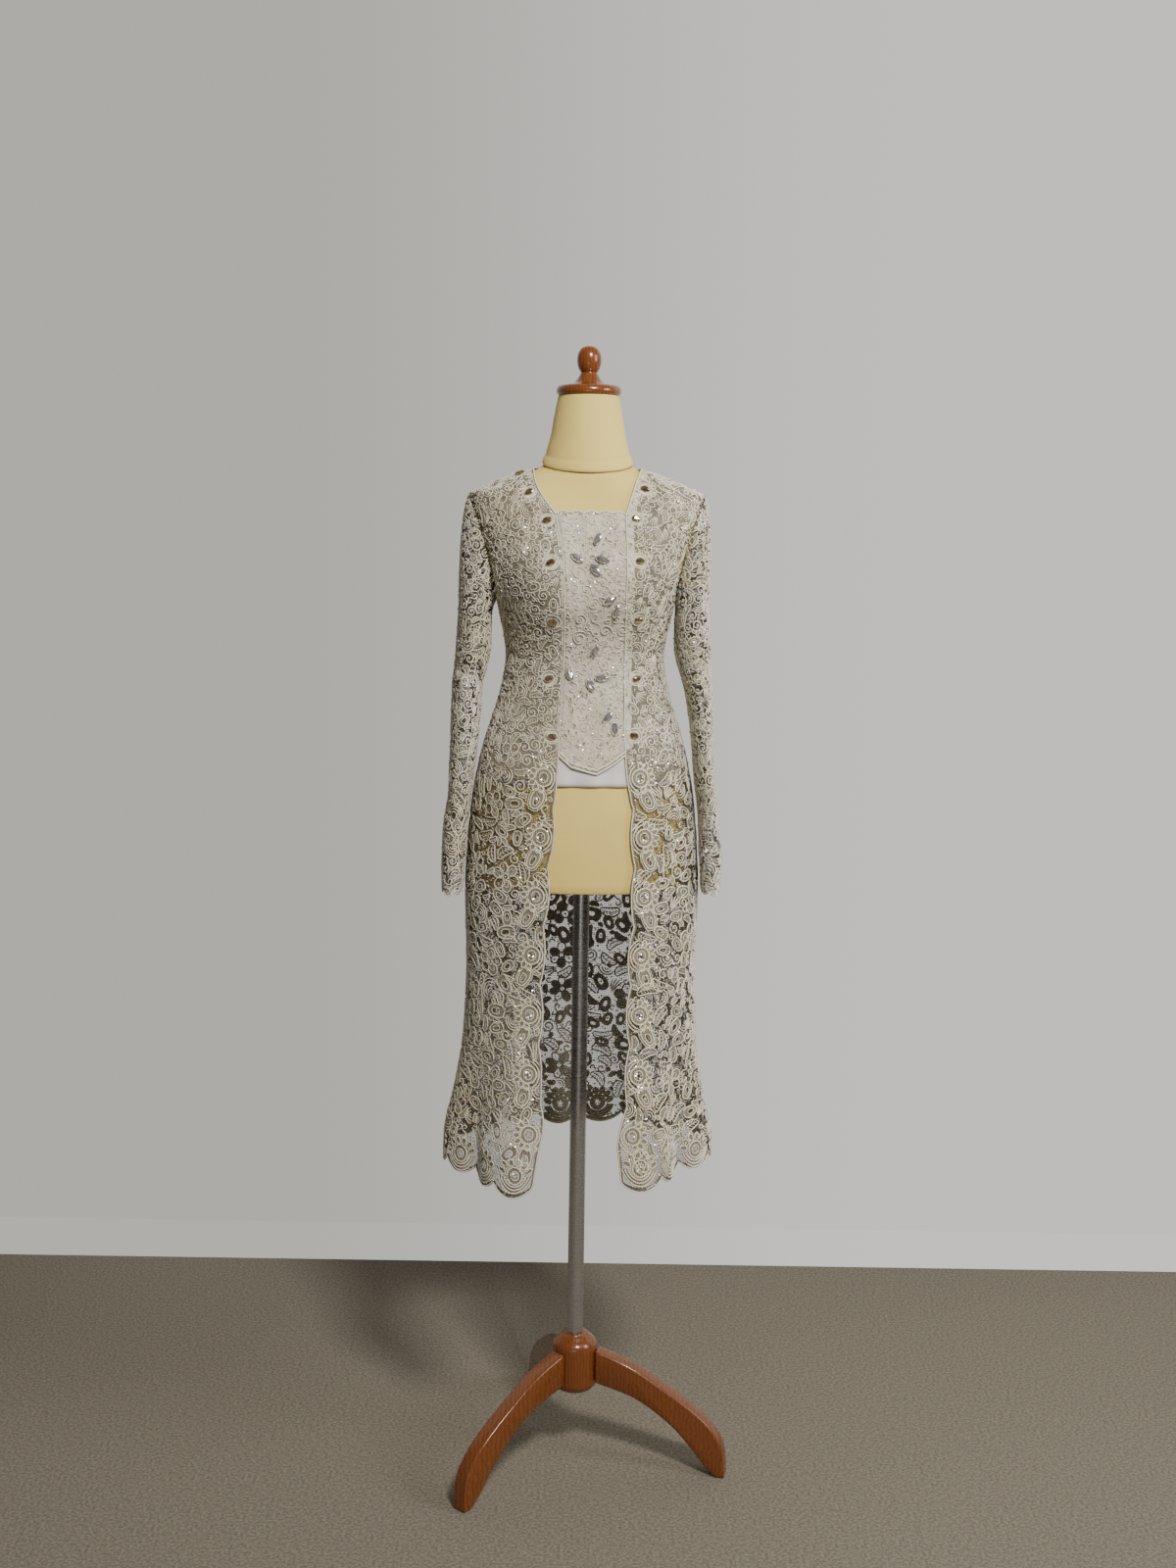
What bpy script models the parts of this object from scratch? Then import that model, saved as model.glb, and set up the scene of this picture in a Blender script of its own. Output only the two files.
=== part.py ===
"""Kebaya blouse of corded lace, worn by a limbless dress form on a wooden tripod.

Metres, +Z up. The blouse faces -Y, and left and right are the wearer's, so left is +X.
The pole's axis stands a little off the origin, so that the whole part is centred on it.
"""
import math

import bpy
import bmesh
import numpy as np
from mathutils import Vector

# Place of the pole's axis: the tripod and the sleeves reach unequally far from it.
POLE_X = -0.017
POLE_Y = -0.029

# Cloth thicknesses and the gaps between pieces
LACE_WALL = 0.0018
SATIN_WALL = 0.0010
SEAM_GAP = 0.0004
LAYER_GAP = 0.0006
REST_GAP = 0.0003

# Outer surface of the blouse's body: a rounded section at each height.
# The power is 2 for an ellipse, and more for a squarer section.
SECTION_COLUMNS = ("height", "half_width", "front_depth", "back_depth", "power")
SECTIONS = (
    (0.470, 0.199, 0.166, 0.170, 2.20),
    (0.550, 0.198, 0.160, 0.165, 2.20),
    (0.615, 0.187, 0.149, 0.155, 2.25),
    (0.700, 0.177, 0.138, 0.145, 2.30),
    (0.800, 0.173, 0.128, 0.137, 2.30),
    (0.920, 0.1755, 0.119, 0.132, 2.30),
    (0.985, 0.1725, 0.115, 0.130, 2.30),
    (1.060, 0.1655, 0.110, 0.124, 2.30),
    (1.105, 0.1575, 0.105, 0.116, 2.28),
    (1.145, 0.1480, 0.098, 0.107, 2.25),
    (1.175, 0.1385, 0.093, 0.100, 2.22),
    (1.207, 0.1283, 0.089, 0.094, 2.20),
    (1.237, 0.1215, 0.087, 0.090, 2.18),
    (1.268, 0.1175, 0.088, 0.088, 2.18),
    (1.300, 0.1205, 0.094, 0.090, 2.20),
    (1.322, 0.1255, 0.101, 0.094, 2.23),
    (1.352, 0.1320, 0.109, 0.099, 2.28),
    (1.400, 0.1470, 0.111, 0.102, 2.34),
    (1.450, 0.1630, 0.103, 0.099, 2.38),
    (1.485, 0.1710, 0.092, 0.092, 2.36),
    (1.507, 0.1735, 0.081, 0.085, 2.30),
    (1.519, 0.1500, 0.075, 0.080, 2.18),
    (1.531, 0.1250, 0.071, 0.076, 2.08),
    (1.540, 0.1000, 0.068, 0.073, 2.02),
    (1.546, 0.0780, 0.0665, 0.0705, 2.00),
    (1.553, 0.0660, 0.0650, 0.0680, 2.00),
    (1.566, 0.0620, 0.0620, 0.0640, 2.00),
)

# The shaped fronts swell softly over the bust: place across, height, radius and rise.
BUST_X = 0.072
BUST_HEIGHT = 1.378
BUST_RADIUS = 0.058
BUST_RISE = 0.013

# Where the main heights of the cut lie
UNDERARM = 1.352
SHOULDER_TIP = 1.507
NECK_POINT_X = 0.079
NECK_CORNER = 1.480
PANEL_HEM_CORNER = 1.134
LINING_HEM = 1.088
LINING_TOP = 1.205
BACK_NECK_DIP = 0.006

# Half the width of the armhole from its front notch to its back notch
ARMHOLE_HALF_DEPTH = 0.050

# Inner edges of the two fronts: seams to the centre panel above its hem, free edges below.
EDGE_COLUMNS = ("height", "right_x", "left_x")
EDGES = (
    (0.470, -0.0680, 0.0640),
    (0.500, -0.0660, 0.0640),
    (0.550, -0.0590, 0.0600),
    (0.610, -0.0515, 0.0670),
    (0.660, -0.0570, 0.0705),
    (0.800, -0.0560, 0.0720),
    (0.930, -0.0495, 0.0765),
    (1.050, -0.0415, 0.0730),
    (1.110, -0.0372, 0.0632),
    (1.180, -0.0345, 0.0594),
    (1.290, -0.0294, 0.0584),
    (1.352, -0.0296, 0.0586),
    (1.410, -0.0320, 0.0588),
    (1.480, -0.0440, 0.0562),
)

# Slanting neckline of each front, from the panel's corner to the point on the shoulder seam,
# with the same columns
NECKLINE = (
    (1.480, -0.0440, 0.0562),
    (1.500, -0.0605, 0.0630),
    (1.523, -0.0735, 0.0700),
    (1.5458, -0.0790, 0.0790),
)

# V hem of the centre panel
PANEL_HEM_COLUMNS = ("x", "height")
PANEL_HEM = (
    (-0.0370, 1.1340),
    (-0.0171, 1.1165),
    (0.0185, 1.1065),
    (0.0427, 1.1205),
    (0.0610, 1.1340),
)

# Lowest points of the scalloped hem, by angle from the front centre towards the left
HEM_COLUMNS = ("angle_deg", "height")
HEM = (
    (-180.0, 0.492),
    (-90.0, 0.499),
    (-52.0, 0.493),
    (-24.0, 0.483),
    (0.0, 0.488),
    (26.0, 0.496),
    (60.0, 0.506),
    (90.0, 0.513),
    (135.0, 0.497),
    (180.0, 0.492),
)
SCALLOP_DROP = 0.017
FRONT_SCALLOPS = 4
BACK_SCALLOPS = 10

# Free front edges are scalloped too, below this height
EDGE_SCALLOP = 0.0045
EDGE_SCALLOP_PITCH = 0.065
EDGE_SCALLOP_TOP = 1.030

# The border's flowers swell out of the lace by this much
FLOWER_RISE = 0.0014

# Largest folds of the skirt: where, how wide, how far out or in, and where each one starts.
# Columns: angle_deg, half_angle_deg, push, start_height
FOLDS = (
    (-28.0, 11.0, 0.010, 0.84),
    (-53.0, 8.0, -0.013, 0.74),
    (-76.0, 12.0, 0.010, 0.72),
    (30.0, 12.0, 0.012, 0.86),
    (51.0, 8.0, -0.014, 0.76),
    (74.0, 12.0, 0.010, 0.72),
    (101.0, 10.0, -0.009, 0.70),
    (121.0, 10.0, 0.011, 0.78),
    (143.0, 9.0, -0.012, 0.82),
    (164.0, 10.0, 0.010, 0.74),
    (186.0, 9.0, -0.010, 0.80),
    (208.0, 11.0, 0.012, 0.84),
    (231.0, 9.0, -0.011, 0.74),
    (253.0, 10.0, 0.009, 0.70),
)
FOLD_FULL_HEIGHT = 0.51

# Heights of the rows of faces below the underarm. Pieces that touch share those above the hips.
UPPER_ROWS = (1.090, 1.125, 1.160, 1.200, 1.240, 1.280, 1.318, UNDERARM)
BACK_SKIRT_ROWS = (0.535, 0.580, 0.630, 0.690, 0.760, 0.830, 0.900, 0.970, 1.035)
FRONT_SKIRT_START = 0.535
YOKE_STEPS = 10
CORNER_STEP = 6
FRONT_COLUMNS = 12
BACK_COLUMNS = 30
BACK_SHOULDER_COLUMNS = 8
PANEL_COLUMNS = 8
LINING_COLUMNS = 40

# Sleeves, empty and hanging: each ring is an ellipse, deeper from front to back than across
SLEEVE_COLUMNS = ("height", "centre_x", "half_width", "centre_y", "half_depth")
SLEEVE_RIGHT = (
    (1.335, 0.1640, 0.0242, -0.004, 0.060),
    (1.310, 0.1648, 0.0247, -0.006, 0.059),
    (1.281, 0.1658, 0.0255, -0.008, 0.057),
    (1.256, 0.1690, 0.0243, -0.010, 0.055),
    (1.227, 0.1742, 0.0220, -0.012, 0.053),
    (1.190, 0.1758, 0.0216, -0.015, 0.051),
    (1.145, 0.1781, 0.0200, -0.019, 0.049),
    (1.098, 0.1812, 0.0184, -0.023, 0.046),
    (1.062, 0.1838, 0.0166, -0.027, 0.044),
    (1.020, 0.1894, 0.0177, -0.031, 0.042),
    (0.983, 0.1908, 0.0178, -0.035, 0.040),
    (0.950, 0.1926, 0.0162, -0.038, 0.038),
    (0.922, 0.1932, 0.0150, -0.040, 0.037),
)
SLEEVE_LEFT = (
    (1.335, 0.1580, 0.0250, -0.004, 0.060),
    (1.310, 0.1586, 0.0262, -0.006, 0.059),
    (1.281, 0.1600, 0.0270, -0.008, 0.057),
    (1.256, 0.1630, 0.0240, -0.010, 0.055),
    (1.227, 0.1685, 0.0206, -0.012, 0.053),
    (1.190, 0.1735, 0.0184, -0.015, 0.051),
    (1.145, 0.1772, 0.0163, -0.019, 0.049),
    (1.098, 0.1798, 0.0145, -0.023, 0.046),
    (1.050, 0.1855, 0.0140, -0.028, 0.044),
    (1.012, 0.1893, 0.0152, -0.032, 0.042),
    (0.983, 0.1916, 0.0166, -0.035, 0.040),
    (0.955, 0.1925, 0.0150, -0.038, 0.038),
    (0.928, 0.1925, 0.0138, -0.040, 0.037),
)
SLEEVE_RINGS = 14
CAP_WEIGHTS = (0.0, 0.10, 0.25, 0.45, 0.70)
CAP_PUFF = 0.0050
CUFF_SCALLOPS = 5
CUFF_SCALLOP_DROP = 0.007

# Large stones sewn on the fronts' bands and on the centre panel, raised from the lace.
# Columns: x, height
STONE_LENGTH = 0.0125
STONE_WIDTH = 0.0080
STONE_RISE = 0.0026
BAND_STONES_RIGHT = (
    (-0.0995, 1.5355), (-0.0823, 1.5100), (-0.0549, 1.4700), (-0.0489, 1.4137),
    (-0.0456, 1.3285), (-0.0500, 1.2430), (-0.0455, 1.1580),
)
BAND_STONES_LEFT = (
    (0.0816, 1.5153), (0.0710, 1.4719), (0.0772, 1.4177),
    (0.0773, 1.3318), (0.0761, 1.2446), (0.0744, 1.1598),
)
PANEL_STONES = (
    (-0.0141, 1.4170), (0.0175, 1.4437), (0.0235, 1.4162), (0.0105, 1.4000),
    (0.0377, 1.3650), (0.0441, 1.3420), (0.0158, 1.2850), (0.0240, 1.2500),
    (0.0105, 1.2330), (-0.0189, 1.2511), (0.0345, 1.1960), (0.0411, 1.1680),
)

# Dress form: the torso lies a little inside the blouse's outer surface. Columns: height, inset
TORSO = (
    (0.930, 0.0075),
    (0.985, 0.0060),
    (1.035, 0.0056),
    (1.090, 0.0054),
    (1.125, 0.0054),
    (1.160, 0.0054),
    (1.200, 0.0054),
    (1.240, 0.0050),
    (1.280, 0.0046),
    (1.318, 0.0042),
    (1.352, 0.0040),
    (1.385, 0.0040),
    (1.420, 0.0042),
    (1.450, 0.0044),
    (1.475, 0.0046),
    (1.492, 0.0056),
    (1.505, 0.0058),
    (1.514, 0.0052),
    (1.524, 0.0046),
    (1.532, 0.0044),
    (1.538, 0.0042),
    (1.543, 0.0042),
    (1.547, 0.0042),
)
TORSO_SIDES = 28
NECK_RADIUS = 0.0625
NECK_SEAM_HEIGHT = 1.552
NECK_SEAM_TILT = 0.20

# Jersey neck, with the cover's roll at its foot. Columns: share of its height, radius
NECK_TOP = 1.651
NECK_PROFILE = (
    (0.00, 0.0635), (0.02, 0.0670), (0.055, 0.0685), (0.095, 0.0665), (0.12, 0.0632),
    (0.20, 0.0605), (0.42, 0.0548), (0.68, 0.0505), (0.90, 0.0462), (1.00, 0.0440),
)
NECK_SIDES = 28

# Turned cap and its egg-shaped knob, bottom to top. Columns: radius, rise above the neck
CAP_PROFILE = (
    (0.0440, 0.0000), (0.0468, 0.0020), (0.0472, 0.0060), (0.0455, 0.0092), (0.0410, 0.0112),
    (0.0300, 0.0145), (0.0215, 0.0185), (0.0165, 0.0230), (0.0122, 0.0285), (0.0118, 0.0325),
    (0.0142, 0.0375), (0.0170, 0.0445), (0.0178, 0.0520), (0.0168, 0.0590), (0.0138, 0.0650),
    (0.0080, 0.0692), (0.0000, 0.0705),
)
CAP_SIDES = 24

# Stand: steel pole, turned hub and three curved legs
POLE_RADIUS = 0.0125
POLE_SIDES = 16
HUB_RADIUS = 0.0355
HUB_BOTTOM = 0.112
HUB_TOP = 0.205
HUB_SIDES = 24
LEG_ANGLES_DEG = (-44.1, 75.9, 195.9)
LEG_THICKNESS = 0.026
LEG_BEVEL = 0.003
HUB_PROFILE = (
    (0.0220, 0.000), (0.0310, 0.006), (HUB_RADIUS, 0.016), (HUB_RADIUS, 0.073),
    (0.0310, 0.083), (0.0240, 0.089), (0.0200, 0.093),
)

# Outline of a leg from the hub over its top to the foot, and back under it.
# Columns: reach from the pole's axis, height
LEG_TOP_EDGE = (
    (0.0358, 0.182), (0.0900, 0.164), (0.1400, 0.137), (0.1925, 0.1033),
    (0.2223, 0.0770), (0.2410, 0.0440), (0.2455, 0.0000),
)
LEG_LOWER_EDGE = (
    (0.2310, 0.0000), (0.2139, 0.0150), (0.1898, 0.0440), (0.1546, 0.0785),
    (0.1000, 0.1120), (0.0358, 0.1300),
)

LACE_COLOUR = (0.74, 0.69, 0.60, 1.0)
SATIN_COLOUR = (0.72, 0.68, 0.70, 1.0)
JERSEY_COLOUR = (0.67, 0.54, 0.31, 1.0)
WOOD_COLOUR = (0.30, 0.075, 0.018, 1.0)
STEEL_COLOUR = (0.55, 0.55, 0.56, 1.0)


def curve_through(rows, columns, name):
    """Smooth curve through a named column of a table against its first, with no overshoot."""
    place = np.array([row[0] for row in rows], dtype=float)
    value = np.array([row[columns.index(name)] for row in rows], dtype=float)
    step = np.diff(place)
    slope = np.diff(value) / step
    tangent = np.zeros(len(place))
    tangent[0], tangent[-1] = slope[0], slope[-1]
    for i in range(1, len(place) - 1):
        if slope[i - 1] * slope[i] > 0.0:
            tangent[i] = 2.0 * slope[i - 1] * slope[i] / (slope[i - 1] + slope[i])

    def read(x):
        x = np.clip(np.asarray(x, dtype=float), place[0], place[-1])
        i = np.clip(np.searchsorted(place, x) - 1, 0, len(step) - 1)
        t = (x - place[i]) / step[i]
        start = value[i] * (1 + 2 * t) * (1 - t) ** 2 + value[i + 1] * t * t * (3 - 2 * t)
        return start + step[i] * (tangent[i] * t * (1 - t) ** 2 - tangent[i + 1] * t * t * (1 - t))

    return read


HALF_WIDTH = curve_through(SECTIONS, SECTION_COLUMNS, "half_width")
FRONT_DEPTH = curve_through(SECTIONS, SECTION_COLUMNS, "front_depth")
BACK_DEPTH = curve_through(SECTIONS, SECTION_COLUMNS, "back_depth")
POWER = curve_through(SECTIONS, SECTION_COLUMNS, "power")
HEM_HEIGHT = curve_through(HEM, HEM_COLUMNS, "height")
PANEL_HEM_HEIGHT = curve_through(PANEL_HEM, PANEL_HEM_COLUMNS, "height")
EDGE_X = {side: curve_through(EDGES, EDGE_COLUMNS, side + "_x") for side in ("right", "left")}
NECKLINE_X = {side: curve_through(NECKLINE, EDGE_COLUMNS, side + "_x") for side in ("right", "left")}
SIGN = {"right": -1.0, "left": 1.0}
SIDE_ANGLE = math.pi / 2


def fold_push(theta, z):
    """How far the skirt's folds stand out of, or lie in, the plain section."""
    angle = np.degrees(theta)
    push = np.zeros(np.broadcast(theta, z).shape)
    for centre, half_angle, depth, start in FOLDS:
        away = (angle - centre + 180.0) % 360.0 - 180.0
        fade = np.clip((start - z) / (start - FOLD_FULL_HEIGHT), 0.0, 1.0)
        push = push + depth * fade * fade * (3 - 2 * fade) * np.exp(-(away / half_angle) ** 2)
    return push


def cloth(theta, z):
    """Points of the blouse's outer surface: theta is 0 at the front and grows to the left."""
    theta, z = np.broadcast_arrays(np.asarray(theta, dtype=float), np.asarray(z, dtype=float))
    sine, cosine = np.sin(theta), np.cos(theta)
    depth = np.where(cosine >= 0.0, FRONT_DEPTH(z), BACK_DEPTH(z))
    power = POWER(z)
    x = HALF_WIDTH(z) * np.sign(sine) * np.abs(sine) ** (2.0 / power)
    y = -depth * np.sign(cosine) * np.abs(cosine) ** (2.0 / power)
    distance = ((np.abs(x) - BUST_X) ** 2 + (z - BUST_HEIGHT) ** 2) / BUST_RADIUS ** 2
    y = y - BUST_RISE * np.exp(-distance) * np.clip(cosine, 0.0, 1.0)
    push = fold_push(theta, z)
    return np.stack((x + push * sine, y - push * cosine, z), axis=-1)


def cloth_normal(theta, z):
    """Outward normals of that surface, shared by the pieces that meet at a seam."""
    turn, rise = 0.01, 0.0015
    across = cloth(theta + turn, z) - cloth(theta - turn, z)
    along = cloth(theta, z + rise) - cloth(theta, z - rise)
    normal = np.cross(across, along)
    return normal / np.linalg.norm(normal, axis=-1, keepdims=True)


def front_angle(x, z):
    """Theta of the front surface's point at a place across and a height."""
    share = np.clip(np.abs(x) / HALF_WIDTH(z), 0.0, 1.0) ** (POWER(z) / 2.0)
    return np.sign(x) * np.arcsin(share)


def ridge_height(x):
    """Height of the shoulder ridge at a place across, found by halving."""
    x = np.abs(np.asarray(x, dtype=float))
    low = np.full(x.shape, SHOULDER_TIP)
    high = np.full(x.shape, SECTIONS[-1][0])
    for _ in range(30):
        middle = (low + high) / 2
        wide = HALF_WIDTH(middle) > x
        low = np.where(wide, middle, low)
        high = np.where(wide, high, middle)
    return low


def armhole_row(share):
    """Angle (0 at the shoulder tip, pi at the underarm) and height of an armhole row."""
    turn = math.pi * (1.0 - share)
    middle = (SHOULDER_TIP + UNDERARM) / 2
    reach = (SHOULDER_TIP - UNDERARM) / 2
    return turn, middle + reach * math.cos(turn)


def armhole_theta(turn, z, facing):
    """Theta on the armhole: facing is 1 for its front half and -1 for its back half."""
    depth = FRONT_DEPTH(z) if facing > 0 else BACK_DEPTH(z)
    ahead = ARMHOLE_HALF_DEPTH * abs(math.sin(turn))
    theta = math.acos(min(1.0, (ahead / depth) ** (POWER(z) / 2.0)))
    return theta if facing > 0 else math.pi - theta


def scallop(share, count):
    """0 at the notches between scallops and 1 at their lowest points."""
    return np.abs(np.sin(math.pi * count * share)) ** 0.8


def edge_x(side, z):
    """Place across of a front's inner edge at a height up to the neck corner."""
    x = EDGE_X[side](z)
    wave = abs(math.sin(math.pi * (z - FRONT_SKIRT_START) / EDGE_SCALLOP_PITCH))
    if z < EDGE_SCALLOP_TOP:
        x = x - SIGN[side] * EDGE_SCALLOP * (wave - 0.5)
    return float(x)


def front_rows():
    """Heights of a front's inner edge, one for each row above the hem."""
    count = int((EDGE_SCALLOP_TOP - FRONT_SKIRT_START) / (EDGE_SCALLOP_PITCH / 2)) + 1
    rows = [FRONT_SKIRT_START + i * EDGE_SCALLOP_PITCH / 2 for i in range(count)]
    rows += list(UPPER_ROWS)
    corner_rise = yoke_rise(CORNER_STEP / YOKE_STEPS)
    for step in range(1, YOKE_STEPS + 1):
        rise = yoke_rise(step / YOKE_STEPS)
        rows.append(float(np.interp(rise, (0.0, corner_rise, 1.0),
                                    (UNDERARM, NECK_CORNER, ridge_height(NECK_POINT_X)))))
    return rows


def yoke_rise(share):
    """Share of the way from underarm to shoulder seam that an armhole row has climbed."""
    return (1.0 - math.cos(math.pi * share)) / 2


def front_grid(side):
    """Theta, height and border swell of a front's points, hem row first, edge column first."""
    sign = SIGN[side]
    share = np.linspace(0.0, 1.0, FRONT_COLUMNS + 1)
    rows = front_rows()
    plain = len(rows) - YOKE_STEPS
    thetas, heights, swells = [], [], []

    def lower_row(z):
        start = front_angle(edge_x(side, z), z)
        seam = SEAM_GAP / 2 / float(HALF_WIDTH(z))
        return start + (sign * (SIDE_ANGLE - seam) - start) * share

    theta = lower_row(rows[0])
    wave = scallop(share, FRONT_SCALLOPS)
    lowest = HEM_HEIGHT(np.degrees(theta))
    thetas.append(theta)
    heights.append(lowest + SCALLOP_DROP * (1.0 - wave))
    swells.append(0.0 * wave)
    for i, z in enumerate(rows[:plain]):
        thetas.append(lower_row(z))
        heights.append(np.full(share.shape, z))
        edge_wave = abs(math.sin(math.pi * (z - FRONT_SKIRT_START) / EDGE_SCALLOP_PITCH))
        inside = np.zeros(share.shape)
        if z < EDGE_SCALLOP_TOP:
            inside[1] = edge_wave
        swells.append(np.maximum(wave if i == 0 else 0.0, inside))

    neck_z, tip_z = float(ridge_height(NECK_POINT_X)), SHOULDER_TIP
    base_x = cloth(thetas[-1], UNDERARM)[:, 0]
    base_share = (base_x - base_x[0]) / (base_x[-1] - base_x[0])
    for step in range(1, YOKE_STEPS + 1):
        turn, outer_z = armhole_row(step / YOKE_STEPS)
        rise = yoke_rise(step / YOKE_STEPS)
        inner_z = rows[plain + step - 1]
        edge = EDGE_X if inner_z <= NECK_CORNER + 1e-6 else NECKLINE_X
        inner_x = float(edge[side](inner_z))
        outer_theta = sign * armhole_theta(turn, outer_z, 1)
        outer_x = float(cloth(outer_theta, outer_z)[0])
        across = base_share + (share - base_share) * rise
        x = inner_x + (outer_x - inner_x) * across
        z = inner_z + (outer_z - inner_z) * across
        seam_line = tip_z + (neck_z - tip_z) * (1.0 - across)
        z = z + (ridge_height(np.maximum(np.abs(x), NECK_POINT_X)) - seam_line) * rise ** 4
        theta = front_angle(x, z)
        theta[-1] = outer_theta
        z[-1] = outer_z
        if step == YOKE_STEPS:
            theta = sign * (SIDE_ANGLE - seam_angle(x))
        thetas.append(theta)
        heights.append(z)
        swells.append(np.zeros(share.shape))
    return np.array(thetas), np.array(heights), np.array(swells)


def seam_angle(x):
    """Turn of theta that opens half the seam gap on the shoulder ridge."""
    z = ridge_height(x)
    power = POWER(z)
    return (SEAM_GAP / 2 / FRONT_DEPTH(z)) ** (power / 2.0)


def back_grid():
    """Theta, height and border swell of the back's points, from the left side to the right."""
    share = np.linspace(0.0, 1.0, BACK_COLUMNS + 1)
    rows = list(BACK_SKIRT_ROWS) + list(UPPER_ROWS)
    thetas, heights, swells = [], [], []

    def lower_row(z):
        seam = SEAM_GAP / 2 / float(HALF_WIDTH(z))
        return SIDE_ANGLE + seam + (math.pi - 2 * seam) * share

    theta = lower_row(rows[0])
    wave = scallop(share, BACK_SCALLOPS)
    around = (np.degrees(theta) + 180.0) % 360.0 - 180.0
    thetas.append(theta)
    heights.append(HEM_HEIGHT(around) + SCALLOP_DROP * (1.0 - wave))
    swells.append(0.0 * wave)
    for i, z in enumerate(rows):
        thetas.append(lower_row(z))
        heights.append(np.full(share.shape, z))
        swells.append(wave if i == 0 else 0.0 * wave)

    base_x = cloth(thetas[-1], UNDERARM)[:, 0]
    base_share = base_x / base_x[0]
    neck_share = NECK_POINT_X / float(HALF_WIDTH(SHOULDER_TIP))
    shoulder = np.linspace(1.0, neck_share, BACK_SHOULDER_COLUMNS + 1)
    neck_turn = np.linspace(0.0, math.pi, BACK_COLUMNS - 2 * BACK_SHOULDER_COLUMNS + 1)
    top_share = np.concatenate((shoulder[:-1], neck_share * np.cos(neck_turn), -shoulder[-2::-1]))
    top_x = top_share * float(HALF_WIDTH(SHOULDER_TIP))
    neck = np.clip(np.abs(top_x) / NECK_POINT_X, 0.0, 1.0)
    dip = BACK_NECK_DIP * (1.0 - neck ** 2)
    top_z = ridge_height(np.maximum(np.abs(top_x), NECK_POINT_X)) - dip
    for step in range(1, YOKE_STEPS + 1):
        turn, outer_z = armhole_row(step / YOKE_STEPS)
        rise = yoke_rise(step / YOKE_STEPS)
        outer_theta = armhole_theta(turn, outer_z, -1)
        outer_x = float(cloth(outer_theta, outer_z)[0])
        x = outer_x * (base_share + (top_share - base_share) * rise)
        z = UNDERARM + (top_z - UNDERARM) * rise
        theta = math.pi - front_angle(x, z)
        theta[0], theta[-1] = outer_theta, 2 * math.pi - outer_theta
        z[0] = z[-1] = outer_z
        if step == YOKE_STEPS:
            on_seam = np.abs(top_x) >= NECK_POINT_X - 1e-6
            turned = np.where(x > 0, SIDE_ANGLE + seam_angle(x), 3 * SIDE_ANGLE - seam_angle(x))
            theta = np.where(on_seam, turned, theta)
        thetas.append(theta)
        heights.append(z)
        swells.append(0.0 * wave)
    return np.array(thetas), np.array(heights), np.array(swells)


def panel_grid():
    """Theta and height of the centre panel's points, V hem first, right seam first."""
    share = np.linspace(0.0, 1.0, PANEL_COLUMNS + 1)
    upper = [z for z in front_rows() if PANEL_HEM_CORNER + 0.02 < z < NECK_CORNER + 0.001]
    thetas, heights = [], []
    for z in [PANEL_HEM_CORNER] + upper:
        right = EDGE_X["right"](z) + SEAM_GAP
        left = EDGE_X["left"](z) - SEAM_GAP
        x = right + (left - right) * share
        row = PANEL_HEM_HEIGHT(x) if z == PANEL_HEM_CORNER else np.full(share.shape, z)
        thetas.append(front_angle(x, row))
        heights.append(row)
    return np.array(thetas), np.array(heights)


def wall(name, outer, inner, material, closed=False, studs=()):
    """Closed solid between two grids of points; closed joins the last column to the first."""
    rows, columns = outer.shape[:2]
    shell = bmesh.new()
    outside = [[shell.verts.new(point) for point in row] for row in outer]
    inside = [[shell.verts.new(point) for point in row] for row in inner]
    spans = columns if closed else columns - 1
    faces = []
    for i in range(rows - 1):
        for j in range(spans):
            k = (j + 1) % columns
            faces.append(shell.faces.new((outside[i][j], outside[i][k],
                                          outside[i + 1][k], outside[i + 1][j])))
            shell.faces.new((inside[i][k], inside[i][j], inside[i + 1][j], inside[i + 1][k]))
    for j in range(spans):
        k = (j + 1) % columns
        shell.faces.new((outside[0][k], outside[0][j], inside[0][j], inside[0][k]))
        shell.faces.new((outside[-1][j], outside[-1][k], inside[-1][k], inside[-1][j]))
    if not closed:
        for i in range(rows - 1):
            shell.faces.new((outside[i][0], outside[i + 1][0], inside[i + 1][0], inside[i][0]))
            shell.faces.new((outside[i + 1][-1], outside[i][-1], inside[i][-1], inside[i + 1][-1]))
    used = set()
    for place in studs:
        place = Vector(place)
        free = [face for face in faces if face not in used]
        nearest = min(free, key=lambda face: (face.calc_center_median() - place).length)
        used.add(nearest)
        raise_stone(shell, nearest)
    bmesh.ops.recalc_face_normals(shell, faces=shell.faces)
    return new_object(name, shell, material)


def raise_stone(shell, face):
    """Replace a face by an oval stone that stands out of it, joined to the face's corners."""
    corners = list(face.verts)
    centre = face.calc_center_median()
    face.normal_update()
    normal = face.normal.copy()
    if normal.dot(Vector((centre.x, centre.y, 0.0))) < 0:
        normal.negate()
    along = (corners[3].co + corners[2].co - corners[0].co - corners[1].co).normalized()
    across = normal.cross(along).normalized()
    if (corners[0].co - centre).dot(across) > 0:
        across = -across
    height = min(STONE_LENGTH, 0.8 * (corners[3].co - corners[0].co).length)
    width = min(STONE_WIDTH, 0.8 * (corners[1].co - corners[0].co).length)
    shell.faces.remove(face)
    base, top = [], []
    for k in range(8):
        turn = math.radians(225 + 45 * k)
        flat = across * (math.cos(turn) * width / 2) + along * (math.sin(turn) * height / 2)
        base.append(shell.verts.new(centre + flat))
        top.append(shell.verts.new(centre + flat * 0.6 + normal * STONE_RISE))
    for k in range(4):
        corner, following = corners[k], corners[(k + 1) % 4]
        here, before, after = base[2 * k], base[2 * k - 1], base[2 * k + 1]
        shell.faces.new((corner, here, before))
        shell.faces.new((corner, after, here))
        shell.faces.new((corner, following, after))
    for k in range(8):
        n = (k + 1) % 8
        shell.faces.new((base[k], base[n], top[n], top[k]))
    shell.faces.new(top)


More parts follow.
